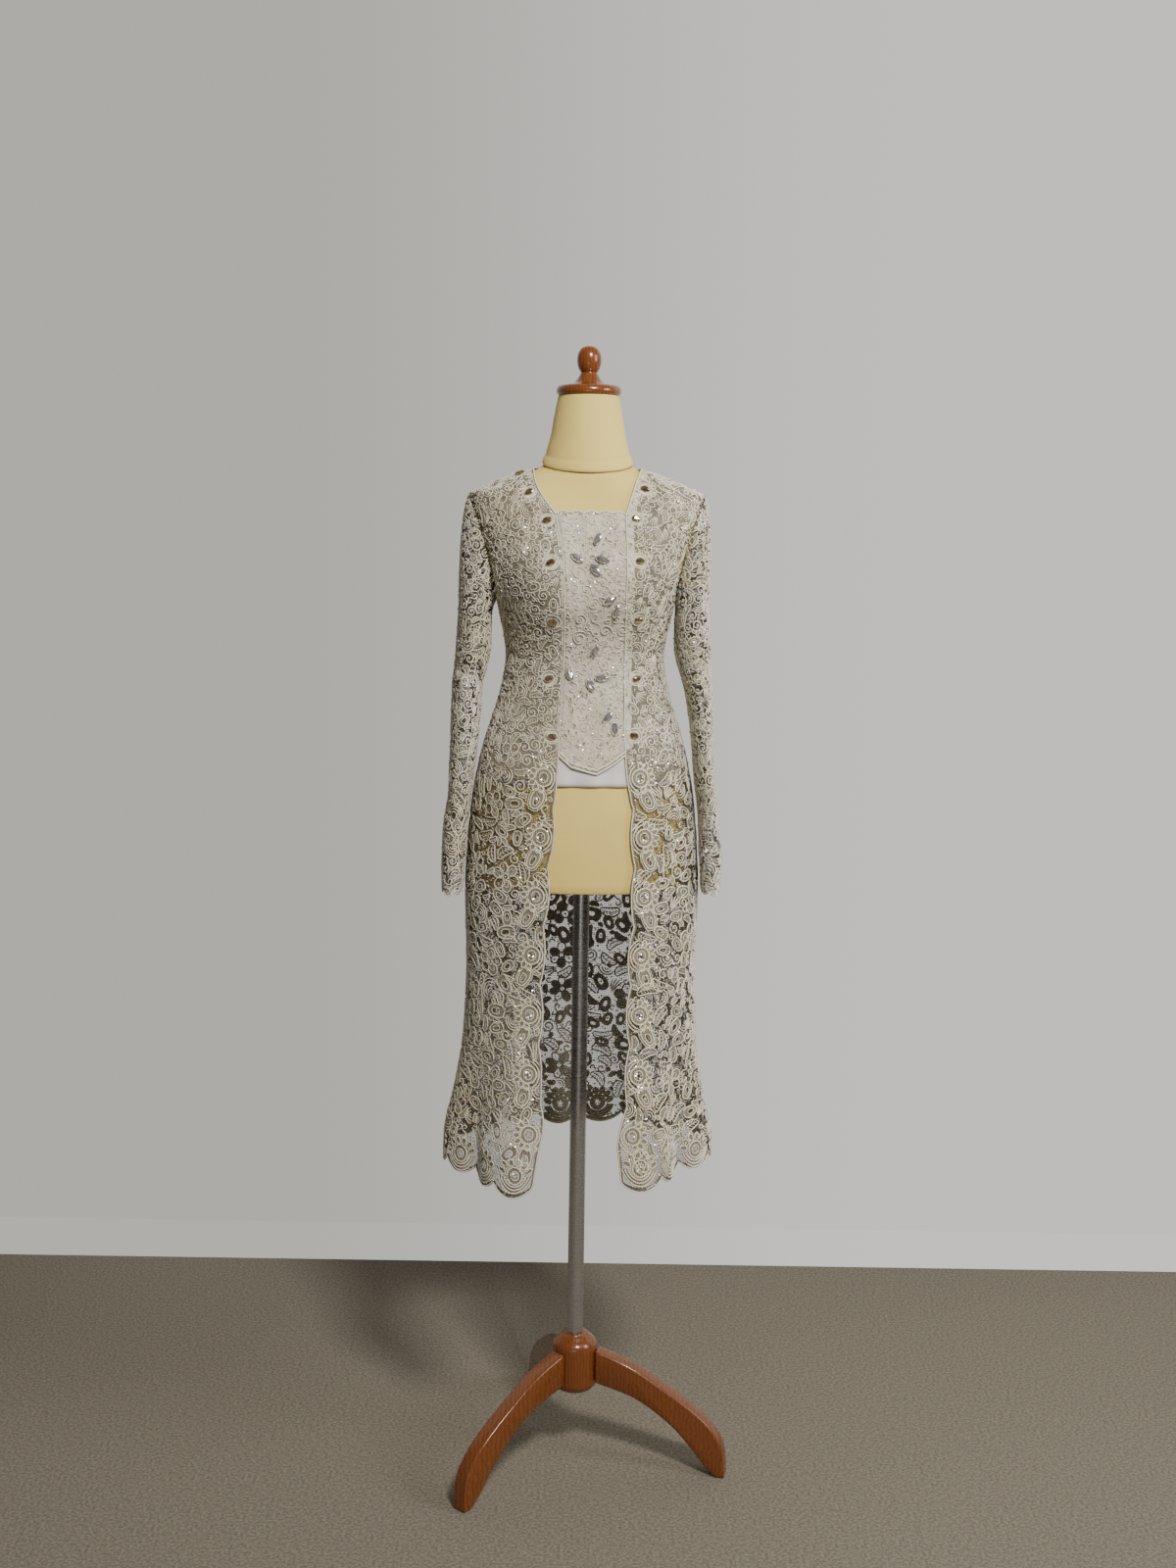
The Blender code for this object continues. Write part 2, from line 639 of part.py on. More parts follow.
def new_object(name, shell, material):
    """Make an object of a finished bmesh, parented to the pole's axis."""
    mesh = bpy.data.meshes.new(name)
    shell.to_mesh(mesh)
    shell.free()
    piece = bpy.data.objects.new(name, mesh)
    bpy.context.collection.objects.link(piece)
    piece.data.materials.append(material)
    piece.data.shade_smooth()
    piece.data.set_sharp_from_angle(angle=math.radians(40))
    piece.parent = bpy.data.objects["pole_axis"]
    return piece


def new_material(name, colour, roughness, metallic=0.0):
    material = bpy.data.materials.new(name)
    material.use_nodes = True
    shader = material.node_tree.nodes["Principled BSDF"]
    shader.inputs["Base Color"].default_value = colour
    shader.inputs["Roughness"].default_value = roughness
    shader.inputs["Metallic"].default_value = metallic
    return material


def stone_places(rows):
    """Points of the outer surface under the stones of a table."""
    return [cloth(front_angle(np.float64(x), z), z) for x, z in rows]


def make_front(side, stones, material):
    theta, z, swell = front_grid(side)
    normal = cloth_normal(theta, z)
    surface = cloth(theta, z)
    outer = surface + normal * (FLOWER_RISE * swell)[..., None]
    inner = surface - normal * LACE_WALL
    return wall("front_" + side, outer, inner, material, studs=stone_places(stones))


def make_back(material):
    theta, z, swell = back_grid()
    normal = cloth_normal(theta, z)
    surface = cloth(theta, z)
    outer = surface + normal * (FLOWER_RISE * swell)[..., None]
    return wall("back", outer, surface - normal * LACE_WALL, material)


def make_panel(material):
    theta, z = panel_grid()
    surface, normal = cloth(theta, z), cloth_normal(theta, z)
    inner = surface - normal * LACE_WALL
    return wall("centre_panel", surface, inner, material, studs=stone_places(PANEL_STONES))


def make_lining(material):
    """Band of satin round the hips, just inside the lace."""
    turn = np.arange(LINING_COLUMNS) * 2 * math.pi / LINING_COLUMNS
    rows = [LINING_HEM] + [z for z in UPPER_ROWS if LINING_HEM + 0.02 < z < LINING_TOP]
    theta, z = np.meshgrid(turn, np.array(rows))
    surface, normal = cloth(theta, z), cloth_normal(theta, z)
    depth = LACE_WALL + LAYER_GAP
    outer = surface - normal * depth
    inner = surface - normal * (depth + SATIN_WALL)
    return wall("lining", outer, inner, material, closed=True)


def make_sleeve(side, table, material):
    """Tube from the armhole, turned down over the shoulder cap, to a scalloped cuff."""
    sign = SIGN[side]
    turns = [2 * math.pi * k / (2 * YOKE_STEPS) for k in range(2 * YOKE_STEPS)]
    thetas, zs = [], []
    for turn in turns:
        facing = 1 if turn <= math.pi else -1
        z = armhole_row(1.0 - turn / math.pi)[1]
        thetas.append(sign * armhole_theta(turn, z, facing))
        zs.append(z)
    seam, body_normal = cloth(thetas, zs), cloth_normal(np.array(thetas), np.array(zs))
    inward = seam.mean(axis=0) - seam
    inward -= body_normal * (inward * body_normal).sum(axis=1, keepdims=True)
    inward /= np.linalg.norm(inward, axis=1, keepdims=True)
    low = (1.0 - np.cos(turns))[:, None] / 2
    away = inward * (1.0 - low) + body_normal * low
    away /= np.linalg.norm(away, axis=1, keepdims=True)
    start = seam + away * SEAM_GAP

    cosine, sine = np.cos(turns), np.sin(turns)
    curves = [curve_through(table[::-1], SLEEVE_COLUMNS, name) for name in SLEEVE_COLUMNS[1:]]

    def ring(z):
        centre_x, half_width, centre_y, half_depth = (read(z) for read in curves)
        x = sign * (centre_x + half_width * cosine)
        return np.stack((x, centre_y - half_depth * sine, np.broadcast_to(z, x.shape)), axis=-1)

    top = ring(table[0][0])
    rings = []
    for weight in CAP_WEIGHTS:
        puff = CAP_PUFF * math.sin(math.pi * weight ** 0.6) * (1.0 + cosine) / 2
        cap = start * (1.0 - weight) + top * weight
        cap[:, 0] += sign * puff
        rings.append(cap)
    heights = np.linspace(table[0][0], table[-1][0], SLEEVE_RINGS)
    rings += [ring(z) for z in heights]
    wave = scallop(np.array(turns) / (2 * math.pi), CUFF_SCALLOPS)
    rings[-1][:, 2] += CUFF_SCALLOP_DROP * (0.5 - wave)
    outer = np.array(rings)

    across = np.roll(outer, -1, axis=1) - np.roll(outer, 1, axis=1)
    down = np.gradient(outer, axis=0)
    normal = np.cross(across, down)
    middle = outer.mean(axis=1, keepdims=True)
    normal *= np.sign((normal * (outer - middle)).sum())
    normal /= np.linalg.norm(normal, axis=-1, keepdims=True)
    first = body_normal * (1.0 - low) + normal[0] * low
    normal[0] = first / np.linalg.norm(first, axis=1, keepdims=True)
    return wall("sleeve_" + side, outer, outer - normal * LACE_WALL, material, closed=True)


def seam_plane(y):
    """Height of the tilted plane on which the neck sits."""
    return NECK_SEAM_HEIGHT + NECK_SEAM_TILT * y


def closed_rings(name, rings, material):
    """Solid through rings of points, with a flat face on its first and last ring."""
    shell = bmesh.new()
    loops = [[shell.verts.new(point) for point in ring] for ring in rings]
    count = len(loops[0])
    for lower, upper in zip(loops, loops[1:]):
        for j in range(count):
            k = (j + 1) % count
            shell.faces.new((lower[j], lower[k], upper[k], upper[j]))
    shell.faces.new(loops[0][::-1])
    shell.faces.new(loops[-1])
    bmesh.ops.recalc_face_normals(shell, faces=shell.faces)
    return new_object(name, shell, material)


def make_torso(material):
    """The form's body: the blouse's own sections moved in, with a flat base and a neck seat."""
    turn = np.arange(TORSO_SIDES) * 2 * math.pi / TORSO_SIDES
    tilt_start = 1.50
    rings = []
    for height, inset in TORSO:
        lean = max(0.0, (height - tilt_start) / (NECK_SEAM_HEIGHT - tilt_start))
        z = height - lean * NECK_SEAM_TILT * NECK_RADIUS * np.cos(turn)
        ring = cloth(turn, z) - cloth_normal(turn, z) * inset
        rings.append(ring)
    rings[0][:, 2] = TORSO[0][0]
    seat = np.stack((NECK_RADIUS * np.sin(turn), -NECK_RADIUS * np.cos(turn)), axis=-1)
    height = seam_plane(seat[:, 1]) - REST_GAP
    rings.append(np.concatenate((seat, height[:, None]), axis=1))
    return closed_rings("form_torso", rings, material)


def make_neck(material):
    turn = np.arange(NECK_SIDES) * 2 * math.pi / NECK_SIDES
    rings = []
    for share, radius in NECK_PROFILE:
        x, y = radius * np.sin(turn), -radius * np.cos(turn)
        foot = seam_plane(y)
        rings.append(np.stack((x, y, foot + (NECK_TOP - foot) * share), axis=-1))
    return closed_rings("form_neck", rings, material)


def spin_profile(name, profile, base, sides, material):
    """Turned solid about the pole's axis from a profile of radius and rise, bottom to top."""
    shell = bmesh.new()
    points = [shell.verts.new((radius, 0.0, base + rise)) for radius, rise in profile]
    edges = [shell.edges.new(pair) for pair in zip(points, points[1:])]
    bmesh.ops.spin(shell, geom=points + edges, cent=(0, 0, 0), axis=(0, 0, 1),
                   angle=2 * math.pi, steps=sides)
    bmesh.ops.remove_doubles(shell, verts=shell.verts, dist=1e-5)
    rims = [edge for edge in shell.edges if edge.is_boundary]
    if rims:
        bmesh.ops.contextual_create(shell, geom=rims)
    bmesh.ops.recalc_face_normals(shell, faces=shell.faces)
    return new_object(name, shell, material)


def make_leg(index, angle_deg, material):
    """One curved leg, cut from a board and with its edges taken off."""
    outline = LEG_TOP_EDGE + LEG_LOWER_EDGE
    board = bmesh.new()
    half = LEG_THICKNESS / 2
    near = [board.verts.new((reach, -half, height)) for reach, height in outline]
    board.faces.new(near)
    sides = bmesh.ops.extrude_face_region(board, geom=list(board.faces))
    moved = [item for item in sides["geom"] if isinstance(item, bmesh.types.BMVert)]
    bmesh.ops.translate(board, verts=moved, vec=(0.0, LEG_THICKNESS, 0.0))
    bmesh.ops.recalc_face_normals(board, faces=board.faces)
    leg = new_object(f"leg_{index}", board, material)
    leg.rotation_euler.z = math.radians(angle_deg - 90.0)
    bevel = leg.modifiers.new("softened edges", "BEVEL")
    bevel.width = LEG_BEVEL
    bevel.segments = 1
    bevel.limit_method = "ANGLE"
    bevel.angle_limit = math.radians(60)
    return leg


def build():
    for item in list(bpy.data.objects):
        bpy.data.objects.remove(item)
    axis = bpy.data.objects.new("pole_axis", None)
    bpy.context.collection.objects.link(axis)
    axis.location = (POLE_X, POLE_Y, 0.0)

    lace = new_material("corded lace", LACE_COLOUR, 0.75)
    satin = new_material("satin", SATIN_COLOUR, 0.40)
    jersey = new_material("jersey", JERSEY_COLOUR, 0.90)
    wood = new_material("varnished wood", WOOD_COLOUR, 0.25)
    steel = new_material("steel", STEEL_COLOUR, 0.30, 1.0)

    make_front("right", BAND_STONES_RIGHT, lace)
    make_front("left", BAND_STONES_LEFT, lace)
    make_panel(lace)
    make_back(lace)
    make_sleeve("right", SLEEVE_RIGHT, lace)
    make_sleeve("left", SLEEVE_LEFT, lace)
    make_lining(satin)

    make_torso(jersey)
    make_neck(jersey)
    spin_profile("neck_cap", CAP_PROFILE, NECK_TOP + REST_GAP, CAP_SIDES, wood)
    pole_length = TORSO[0][0] - HUB_TOP - 2 * REST_GAP
    pole = ((POLE_RADIUS, 0.0), (POLE_RADIUS, pole_length))
    spin_profile("pole", pole, HUB_TOP + REST_GAP, POLE_SIDES, steel)
    spin_profile("hub", HUB_PROFILE, HUB_BOTTOM, HUB_SIDES, wood)
    for index, angle_deg in enumerate(LEG_ANGLES_DEG, start=1):
        make_leg(index, angle_deg, wood)


build()
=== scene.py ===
import math

import bpy
import bmesh
import numpy as np
from mathutils import Euler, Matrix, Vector


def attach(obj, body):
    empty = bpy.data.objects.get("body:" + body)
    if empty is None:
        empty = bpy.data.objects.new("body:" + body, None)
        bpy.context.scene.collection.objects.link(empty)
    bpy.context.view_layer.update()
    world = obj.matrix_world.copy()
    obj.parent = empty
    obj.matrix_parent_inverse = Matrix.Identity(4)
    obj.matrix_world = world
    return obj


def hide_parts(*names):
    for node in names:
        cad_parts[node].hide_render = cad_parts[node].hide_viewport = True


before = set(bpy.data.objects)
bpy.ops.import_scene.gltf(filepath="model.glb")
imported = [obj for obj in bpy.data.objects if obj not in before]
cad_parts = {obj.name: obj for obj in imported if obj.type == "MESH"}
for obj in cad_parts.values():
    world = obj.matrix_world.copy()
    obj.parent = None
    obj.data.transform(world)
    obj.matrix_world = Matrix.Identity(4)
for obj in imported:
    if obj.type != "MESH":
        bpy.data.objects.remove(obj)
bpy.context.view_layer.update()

# A kebaya blouse of corded lace on a limbless dress form. Metres, +Z up; the blouse faces -Y,
# and left and right are the wearer's. Lengths are worked out round the pole's axis.
POLE = np.array((-0.017, -0.029, 0.0))

# Sections of the blouse's outer surface, as in the solids
SECTION_COLUMNS = ("height", "half_width", "front_depth", "back_depth", "power")
SECTIONS = (
    (0.470, 0.199, 0.166, 0.170, 2.20),
    (0.550, 0.198, 0.160, 0.165, 2.20),
    (0.615, 0.187, 0.149, 0.155, 2.25),
    (0.700, 0.177, 0.138, 0.145, 2.30),
    (0.800, 0.173, 0.128, 0.137, 2.30),
    (0.920, 0.1755, 0.119, 0.132, 2.30),
    (0.985, 0.1725, 0.115, 0.130, 2.30),
    (1.060, 0.1655, 0.110, 0.124, 2.30),
    (1.105, 0.1575, 0.105, 0.116, 2.28),
    (1.145, 0.1480, 0.098, 0.107, 2.25),
    (1.175, 0.1385, 0.093, 0.100, 2.22),
    (1.207, 0.1283, 0.089, 0.094, 2.20),
    (1.237, 0.1215, 0.087, 0.090, 2.18),
    (1.268, 0.1175, 0.088, 0.088, 2.18),
    (1.300, 0.1205, 0.094, 0.090, 2.20),
    (1.322, 0.1255, 0.101, 0.094, 2.23),
    (1.352, 0.1320, 0.109, 0.099, 2.28),
    (1.400, 0.1470, 0.111, 0.102, 2.34),
    (1.450, 0.1630, 0.103, 0.099, 2.38),
    (1.485, 0.1710, 0.092, 0.092, 2.36),
    (1.507, 0.1735, 0.081, 0.085, 2.30),
    (1.519, 0.1500, 0.075, 0.080, 2.18),
    (1.531, 0.1250, 0.071, 0.076, 2.08),
    (1.540, 0.1000, 0.068, 0.073, 2.02),
    (1.546, 0.0780, 0.0665, 0.0705, 2.00),
    (1.553, 0.0660, 0.0650, 0.0680, 2.00),
    (1.566, 0.0620, 0.0620, 0.0640, 2.00),
)
BUST_X, BUST_HEIGHT, BUST_RADIUS, BUST_RISE = 0.072, 1.378, 0.058, 0.013
UNDERARM, SHOULDER_TIP = 1.352, 1.507
NECK_POINT_X, NECK_CORNER = 0.079, 1.480
PANEL_TOP_SCALLOP, PANEL_TOP_LOBES = 0.0045, 5
LINING_HEM, LINING_TOP = 1.088, 1.200
BACK_NECK_DIP = 0.006
ARMHOLE_HALF_DEPTH = 0.050
EDGE_COLUMNS = ("height", "right_x", "left_x")
EDGES = (
    (0.470, -0.0680, 0.0640),
    (0.500, -0.0660, 0.0640),
    (0.550, -0.0590, 0.0600),
    (0.610, -0.0515, 0.0670),
    (0.660, -0.0570, 0.0705),
    (0.800, -0.0560, 0.0720),
    (0.930, -0.0495, 0.0765),
    (1.050, -0.0415, 0.0730),
    (1.110, -0.0372, 0.0632),
    (1.180, -0.0345, 0.0594),
    (1.290, -0.0294, 0.0584),
    (1.352, -0.0296, 0.0586),
    (1.410, -0.0320, 0.0588),
    (1.480, -0.0440, 0.0562),
)
NECKLINE = (
    (1.480, -0.0440, 0.0562),
    (1.500, -0.0605, 0.0630),
    (1.523, -0.0735, 0.0700),
    (1.5458, -0.0790, 0.0790),
)
# V hem of the panel. Columns: x, height
PANEL_HEM = (
    (-0.0370, 1.1340),
    (-0.0171, 1.1165),
    (0.0185, 1.1065),
    (0.0427, 1.1205),
    (0.0610, 1.1340),
)
HEM_COLUMNS = ("angle_deg", "height")
HEM = (
    (-180.0, 0.492), (-90.0, 0.499), (-52.0, 0.493), (-24.0, 0.483), (0.0, 0.488),
    (26.0, 0.496), (60.0, 0.506), (90.0, 0.513), (135.0, 0.497), (180.0, 0.492),
)
SCALLOP_DROP = 0.017
FRONT_SCALLOPS, BACK_SCALLOPS = 4, 10
EDGE_SCALLOP, EDGE_SCALLOP_PITCH, EDGE_SCALLOP_TOP = 0.0060, 0.087, 1.060
SKIRT_START = 0.535

# Folds of the skirt. Columns: angle_deg, half_angle_deg, push, start_height
FOLDS = (
    (-28.0, 11.0, 0.010, 0.84), (-53.0, 8.0, -0.013, 0.74), (-76.0, 12.0, 0.010, 0.72),
    (30.0, 12.0, 0.012, 0.86), (51.0, 8.0, -0.014, 0.76), (74.0, 12.0, 0.010, 0.72),
    (101.0, 10.0, -0.009, 0.70), (121.0, 10.0, 0.011, 0.78), (143.0, 9.0, -0.012, 0.82),
    (164.0, 10.0, 0.010, 0.74), (186.0, 9.0, -0.010, 0.80), (208.0, 11.0, 0.012, 0.84),
    (231.0, 9.0, -0.011, 0.74), (253.0, 10.0, 0.009, 0.70),
)
FOLD_FULL_HEIGHT = 0.51

# Soft creases of the body, each laid from a start to an end; troughs are negative.
# Columns: start_angle_deg, start_height, end_angle_deg, end_height, half_width, depth
BODY_CREASES = (
    (-78.0, 1.285, -40.0, 1.262, 0.0060, -0.0016), (-84.0, 1.262, -47.0, 1.243, 0.0055, 0.0022),
    (-80.0, 1.236, -52.0, 1.226, 0.0050, -0.0014), (82.0, 1.292, 47.0, 1.272, 0.0060, -0.0016),
    (86.0, 1.266, 55.0, 1.251, 0.0050, 0.0024), (79.0, 1.238, 50.0, 1.222, 0.0055, -0.0013),
    (-66.0, 1.352, -54.0, 1.425, 0.0070, 0.0030), (-74.0, 1.362, -63.0, 1.440, 0.0060, -0.0018),
    (64.0, 1.350, 55.0, 1.418, 0.0070, 0.0028), (75.0, 1.360, 66.0, 1.448, 0.0060, -0.0018),
    (-38.0, 1.120, -44.0, 1.000, 0.0080, 0.0030), (-62.0, 1.105, -58.0, 0.930, 0.0090, -0.0016),
    (38.0, 1.112, 43.0, 0.985, 0.0080, 0.0032), (60.0, 1.120, 66.0, 0.945, 0.0090, -0.0016),
    (104.0, 1.298, 141.0, 1.270, 0.0060, 0.0024), (99.0, 1.262, 133.0, 1.246, 0.0055, -0.0014),
    (112.0, 1.232, 150.0, 1.222, 0.0060, 0.0020), (255.0, 1.290, 222.0, 1.266, 0.0060, 0.0024),
    (259.0, 1.256, 229.0, 1.243, 0.0050, -0.0014), (250.0, 1.226, 214.0, 1.214, 0.0060, 0.0018),
    (118.0, 1.370, 127.0, 1.440, 0.0080, 0.0026), (241.0, 1.366, 233.0, 1.446, 0.0080, 0.0026),
    (150.0, 1.110, 146.0, 0.960, 0.0090, 0.0030), (197.0, 1.120, 203.0, 0.940, 0.0090, 0.0028),
    (228.0, 1.090, 223.0, 0.975, 0.0080, -0.0015), (125.0, 1.085, 129.0, 0.950, 0.0080, -0.0015),
)

SLEEVE_COLUMNS = ("height", "centre_x", "half_width", "centre_y", "half_depth")
SLEEVE_RIGHT = (
    (1.335, 0.1640, 0.0242, -0.004, 0.060),
    (1.310, 0.1648, 0.0247, -0.006, 0.059),
    (1.281, 0.1658, 0.0255, -0.008, 0.057),
    (1.256, 0.1690, 0.0243, -0.010, 0.055),
    (1.227, 0.1742, 0.0220, -0.012, 0.053),
    (1.190, 0.1758, 0.0216, -0.015, 0.051),
    (1.145, 0.1781, 0.0200, -0.019, 0.049),
    (1.098, 0.1812, 0.0184, -0.023, 0.046),
    (1.062, 0.1838, 0.0166, -0.027, 0.044),
    (1.020, 0.1894, 0.0177, -0.031, 0.042),
    (0.983, 0.1908, 0.0178, -0.035, 0.040),
    (0.950, 0.1926, 0.0162, -0.038, 0.038),
    (0.922, 0.1932, 0.0150, -0.040, 0.037),
)
SLEEVE_LEFT = (
    (1.335, 0.1580, 0.0250, -0.004, 0.060),
    (1.310, 0.1586, 0.0262, -0.006, 0.059),
    (1.281, 0.1600, 0.0270, -0.008, 0.057),
    (1.256, 0.1630, 0.0240, -0.010, 0.055),
    (1.227, 0.1685, 0.0206, -0.012, 0.053),
    (1.190, 0.1735, 0.0184, -0.015, 0.051),
    (1.145, 0.1772, 0.0163, -0.019, 0.049),
    (1.098, 0.1798, 0.0145, -0.023, 0.046),
    (1.050, 0.1855, 0.0140, -0.028, 0.044),
    (1.012, 0.1893, 0.0152, -0.032, 0.042),
    (0.983, 0.1916, 0.0166, -0.035, 0.040),
    (0.955, 0.1925, 0.0150, -0.038, 0.038),
    (0.928, 0.1925, 0.0138, -0.040, 0.037),
)
CAP_PUFF = 0.0050
CUFF_SCALLOPS, CUFF_SCALLOP_DROP = 5, 0.007

# Creases of a sleeve; turns are 0 outside, 90 at the front and 180 inside.
# Columns: start_turn_deg, start_height, end_turn_deg, end_height, half_width, depth
SLEEVE_CREASES = (
    (20.0, 1.262, 120.0, 1.236, 0.0060, -0.0030), (35.0, 1.240, 150.0, 1.221, 0.0050, 0.0028),
    (15.0, 1.214, 100.0, 1.196, 0.0055, -0.0024), (60.0, 1.182, 160.0, 1.160, 0.0060, 0.0026),
    (10.0, 1.150, 95.0, 1.133, 0.0050, -0.0020), (40.0, 1.086, 130.0, 1.070, 0.0055, 0.0024),
    (20.0, 1.052, 110.0, 1.030, 0.0055, -0.0022), (50.0, 0.992, 140.0, 0.980, 0.0045, 0.0020),
    (60.0, 1.330, 72.0, 1.400, 0.0080, 0.0034), (95.0, 1.325, 100.0, 1.385, 0.0060, -0.0024),
    (205.0, 1.256, 310.0, 1.232, 0.0060, -0.0028), (220.0, 1.226, 330.0, 1.207, 0.0055, 0.0026),
    (200.0, 1.174, 300.0, 1.158, 0.0055, -0.0020), (230.0, 1.090, 325.0, 1.072, 0.0055, 0.0024),
    (215.0, 1.036, 300.0, 1.024, 0.0050, -0.0020), (262.0, 1.330, 285.0, 1.400, 0.0080, 0.0032),
)

# Stones of the bands, the centre panel and the sleeves. Columns: x, height
BAND_STONES = {
    "right": ((-0.0995, 1.5355), (-0.0823, 1.5100), (-0.0549, 1.4700), (-0.0489, 1.4137),
              (-0.0456, 1.3285), (-0.0500, 1.2430), (-0.0455, 1.1580)),
    "left": ((0.0816, 1.5153), (0.0710, 1.4719), (0.0772, 1.4177),
             (0.0773, 1.3318), (0.0761, 1.2446), (0.0744, 1.1598)),
}
# Marquise crystals of the panel. Columns: x, height, turn_deg from upright
PANEL_STONES = (
    (-0.0141, 1.4170, 52.0), (0.0175, 1.4437, -6.0), (0.0235, 1.4162, 66.0),
    (0.0128, 1.4020, 40.0), (0.0368, 1.3608, -70.0), (0.0446, 1.3455, -38.0),
    (0.0158, 1.2850, -6.0), (0.0236, 1.2470, 64.0), (0.0110, 1.2350, 35.0),
    (-0.0189, 1.2511, 60.0), (0.0340, 1.1900, -65.0), (0.0422, 1.1720, -35.0),
)
# Crystals of the sleeves. Columns: turn_deg, height, lean_deg
SLEEVE_STONES = {
    "right": ((118.0, 1.2607, 60.0), (124.0, 1.2480, 70.0), (70.0, 1.2753, -60.0),
              (60.0, 1.0900, 20.0), (300.0, 1.2300, 30.0), (280.0, 1.0800, -20.0)),
    "left": ((62.0, 0.9994, 25.0), (112.0, 0.9870, -35.0), (75.0, 1.2100, 40.0),
             (290.0, 1.1900, 20.0), (265.0, 1.0300, -30.0)),
}
BAND_STONE = (0.0142, 0.0096, 0.0036)
PANEL_STONE = (0.0222, 0.0110, 0.0050)
SLEEVE_STONE = (0.0150, 0.0074, 0.0034)
STONE_SEAT = 0.0016

# Cloth: the net lies under the cords, which rise to about the solid's outer surface
NET_DEPTH = 0.0009
NET_THICKNESS = 0.0006
NET_HOLE = 0.0029
CORD_WIDTH, CORD_RISE = 0.0025, 0.0021
FINE_WIDTH, FINE_RISE = 0.0016, 0.0014
LACE_WALL, LAYER_GAP = 0.0018, 0.0006
LINED_FROM = 1.090
UPPER_SCALE = 0.80

SIGN = {"right": -1.0, "left": 1.0}
SIDE_ANGLE = math.pi / 2


def curve_through(rows, columns, name):
    """Smooth curve through a named column of a table against its first, with no overshoot."""
    place = np.array([row[0] for row in rows], dtype=float)
    value = np.array([row[columns.index(name)] for row in rows], dtype=float)
    step = np.diff(place)
    slope = np.diff(value) / step
    tangent = np.zeros(len(place))
    tangent[0], tangent[-1] = slope[0], slope[-1]
    for i in range(1, len(place) - 1):
        if slope[i - 1] * slope[i] > 0.0:
            tangent[i] = 2.0 * slope[i - 1] * slope[i] / (slope[i - 1] + slope[i])

    def read(x):
        x = np.clip(np.asarray(x, dtype=float), place[0], place[-1])
        i = np.clip(np.searchsorted(place, x) - 1, 0, len(step) - 1)
        t = (x - place[i]) / step[i]
        start = value[i] * (1 + 2 * t) * (1 - t) ** 2 + value[i + 1] * t * t * (3 - 2 * t)
        return start + step[i] * (tangent[i] * t * (1 - t) ** 2 - tangent[i + 1] * t * t * (1 - t))

    return read


HALF_WIDTH = curve_through(SECTIONS, SECTION_COLUMNS, "half_width")
FRONT_DEPTH = curve_through(SECTIONS, SECTION_COLUMNS, "front_depth")
BACK_DEPTH = curve_through(SECTIONS, SECTION_COLUMNS, "back_depth")
POWER = curve_through(SECTIONS, SECTION_COLUMNS, "power")
HEM_HEIGHT = curve_through(HEM, HEM_COLUMNS, "height")
EDGE_X = {side: curve_through(EDGES, EDGE_COLUMNS, side + "_x") for side in SIGN}
NECKLINE_X = {side: curve_through(NECKLINE, EDGE_COLUMNS, side + "_x") for side in SIGN}


def panel_hem_height(x):
    """The V of the centre panel's hem, straight between its table's points."""
    return np.interp(x, [row[0] for row in PANEL_HEM], [row[1] for row in PANEL_HEM])


def fold_push(theta, z):
    """How far the skirt's folds stand out of, or lie in, the plain section."""
    angle = np.degrees(theta)
    push = np.zeros(np.broadcast(theta, z).shape)
    for centre, half_angle, depth, start in FOLDS:
        away = (angle - centre + 180.0) % 360.0 - 180.0
        fade = np.clip((start - z) / (start - FOLD_FULL_HEIGHT), 0.0, 1.0)
        push = push + depth * fade * fade * (3 - 2 * fade) * np.exp(-(away / half_angle) ** 2)
    return push


def cloth(theta, z):
    """Points of the blouse's outer surface: theta is 0 at the front and grows to the left."""
    theta, z = np.broadcast_arrays(np.asarray(theta, dtype=float), np.asarray(z, dtype=float))
    sine, cosine = np.sin(theta), np.cos(theta)
    depth = np.where(cosine >= 0.0, FRONT_DEPTH(z), BACK_DEPTH(z))
    power = POWER(z)
    x = HALF_WIDTH(z) * np.sign(sine) * np.abs(sine) ** (2.0 / power)
    y = -depth * np.sign(cosine) * np.abs(cosine) ** (2.0 / power)
    distance = ((np.abs(x) - BUST_X) ** 2 + (z - BUST_HEIGHT) ** 2) / BUST_RADIUS ** 2
    y = y - BUST_RISE * np.exp(-distance) * np.clip(cosine, 0.0, 1.0)
    push = fold_push(theta, z)
    return np.stack((x + push * sine, y - push * cosine, z), axis=-1)


def cloth_normal(theta, z):
    """Outward normals of that surface."""
    turn, rise = 0.01, 0.0015
    across = cloth(theta + turn, z) - cloth(theta - turn, z)
    along = cloth(theta, z + rise) - cloth(theta, z - rise)
    normal = np.cross(across, along)
    return normal / np.linalg.norm(normal, axis=-1, keepdims=True)


def crease_push(place, creases):
    """Push of listed creases: place is (angle_deg, height, radius) of each point."""
    angle, z, radius = place
    push = np.zeros(np.broadcast(angle, z).shape)
    for start_angle, start_z, end_angle, end_z, half_width, depth in creases:
        around = np.radians((angle - start_angle + 180.0) % 360.0 - 180.0) * radius
        run = np.array((math.radians(end_angle - start_angle) * radius, end_z - start_z))
        length = math.hypot(*run)
        share = (around * run[0] + (z - start_z) * run[1]) / length ** 2
        away = (around * run[1] - (z - start_z) * run[0]) / length
        inside = np.clip(share, 0.0, 1.0)
        taper = np.sin(math.pi * inside) ** 0.7
        push = push + depth * taper * np.exp(-(away / half_width) ** 2) * (share == inside)
    return push


def worn(theta, z):
    """The outer surface with its creases."""
    angle = np.degrees(theta)
    push = crease_push((angle, z, 0.12), BODY_CREASES)
    return cloth(theta, z) + cloth_normal(theta, z) * push[..., None]


def front_angle(x, z):
    """Theta of the front surface's point at a place across and a height."""
    share = np.clip(np.abs(x) / HALF_WIDTH(z), 0.0, 1.0) ** (POWER(z) / 2.0)
    return np.sign(x) * np.arcsin(share)


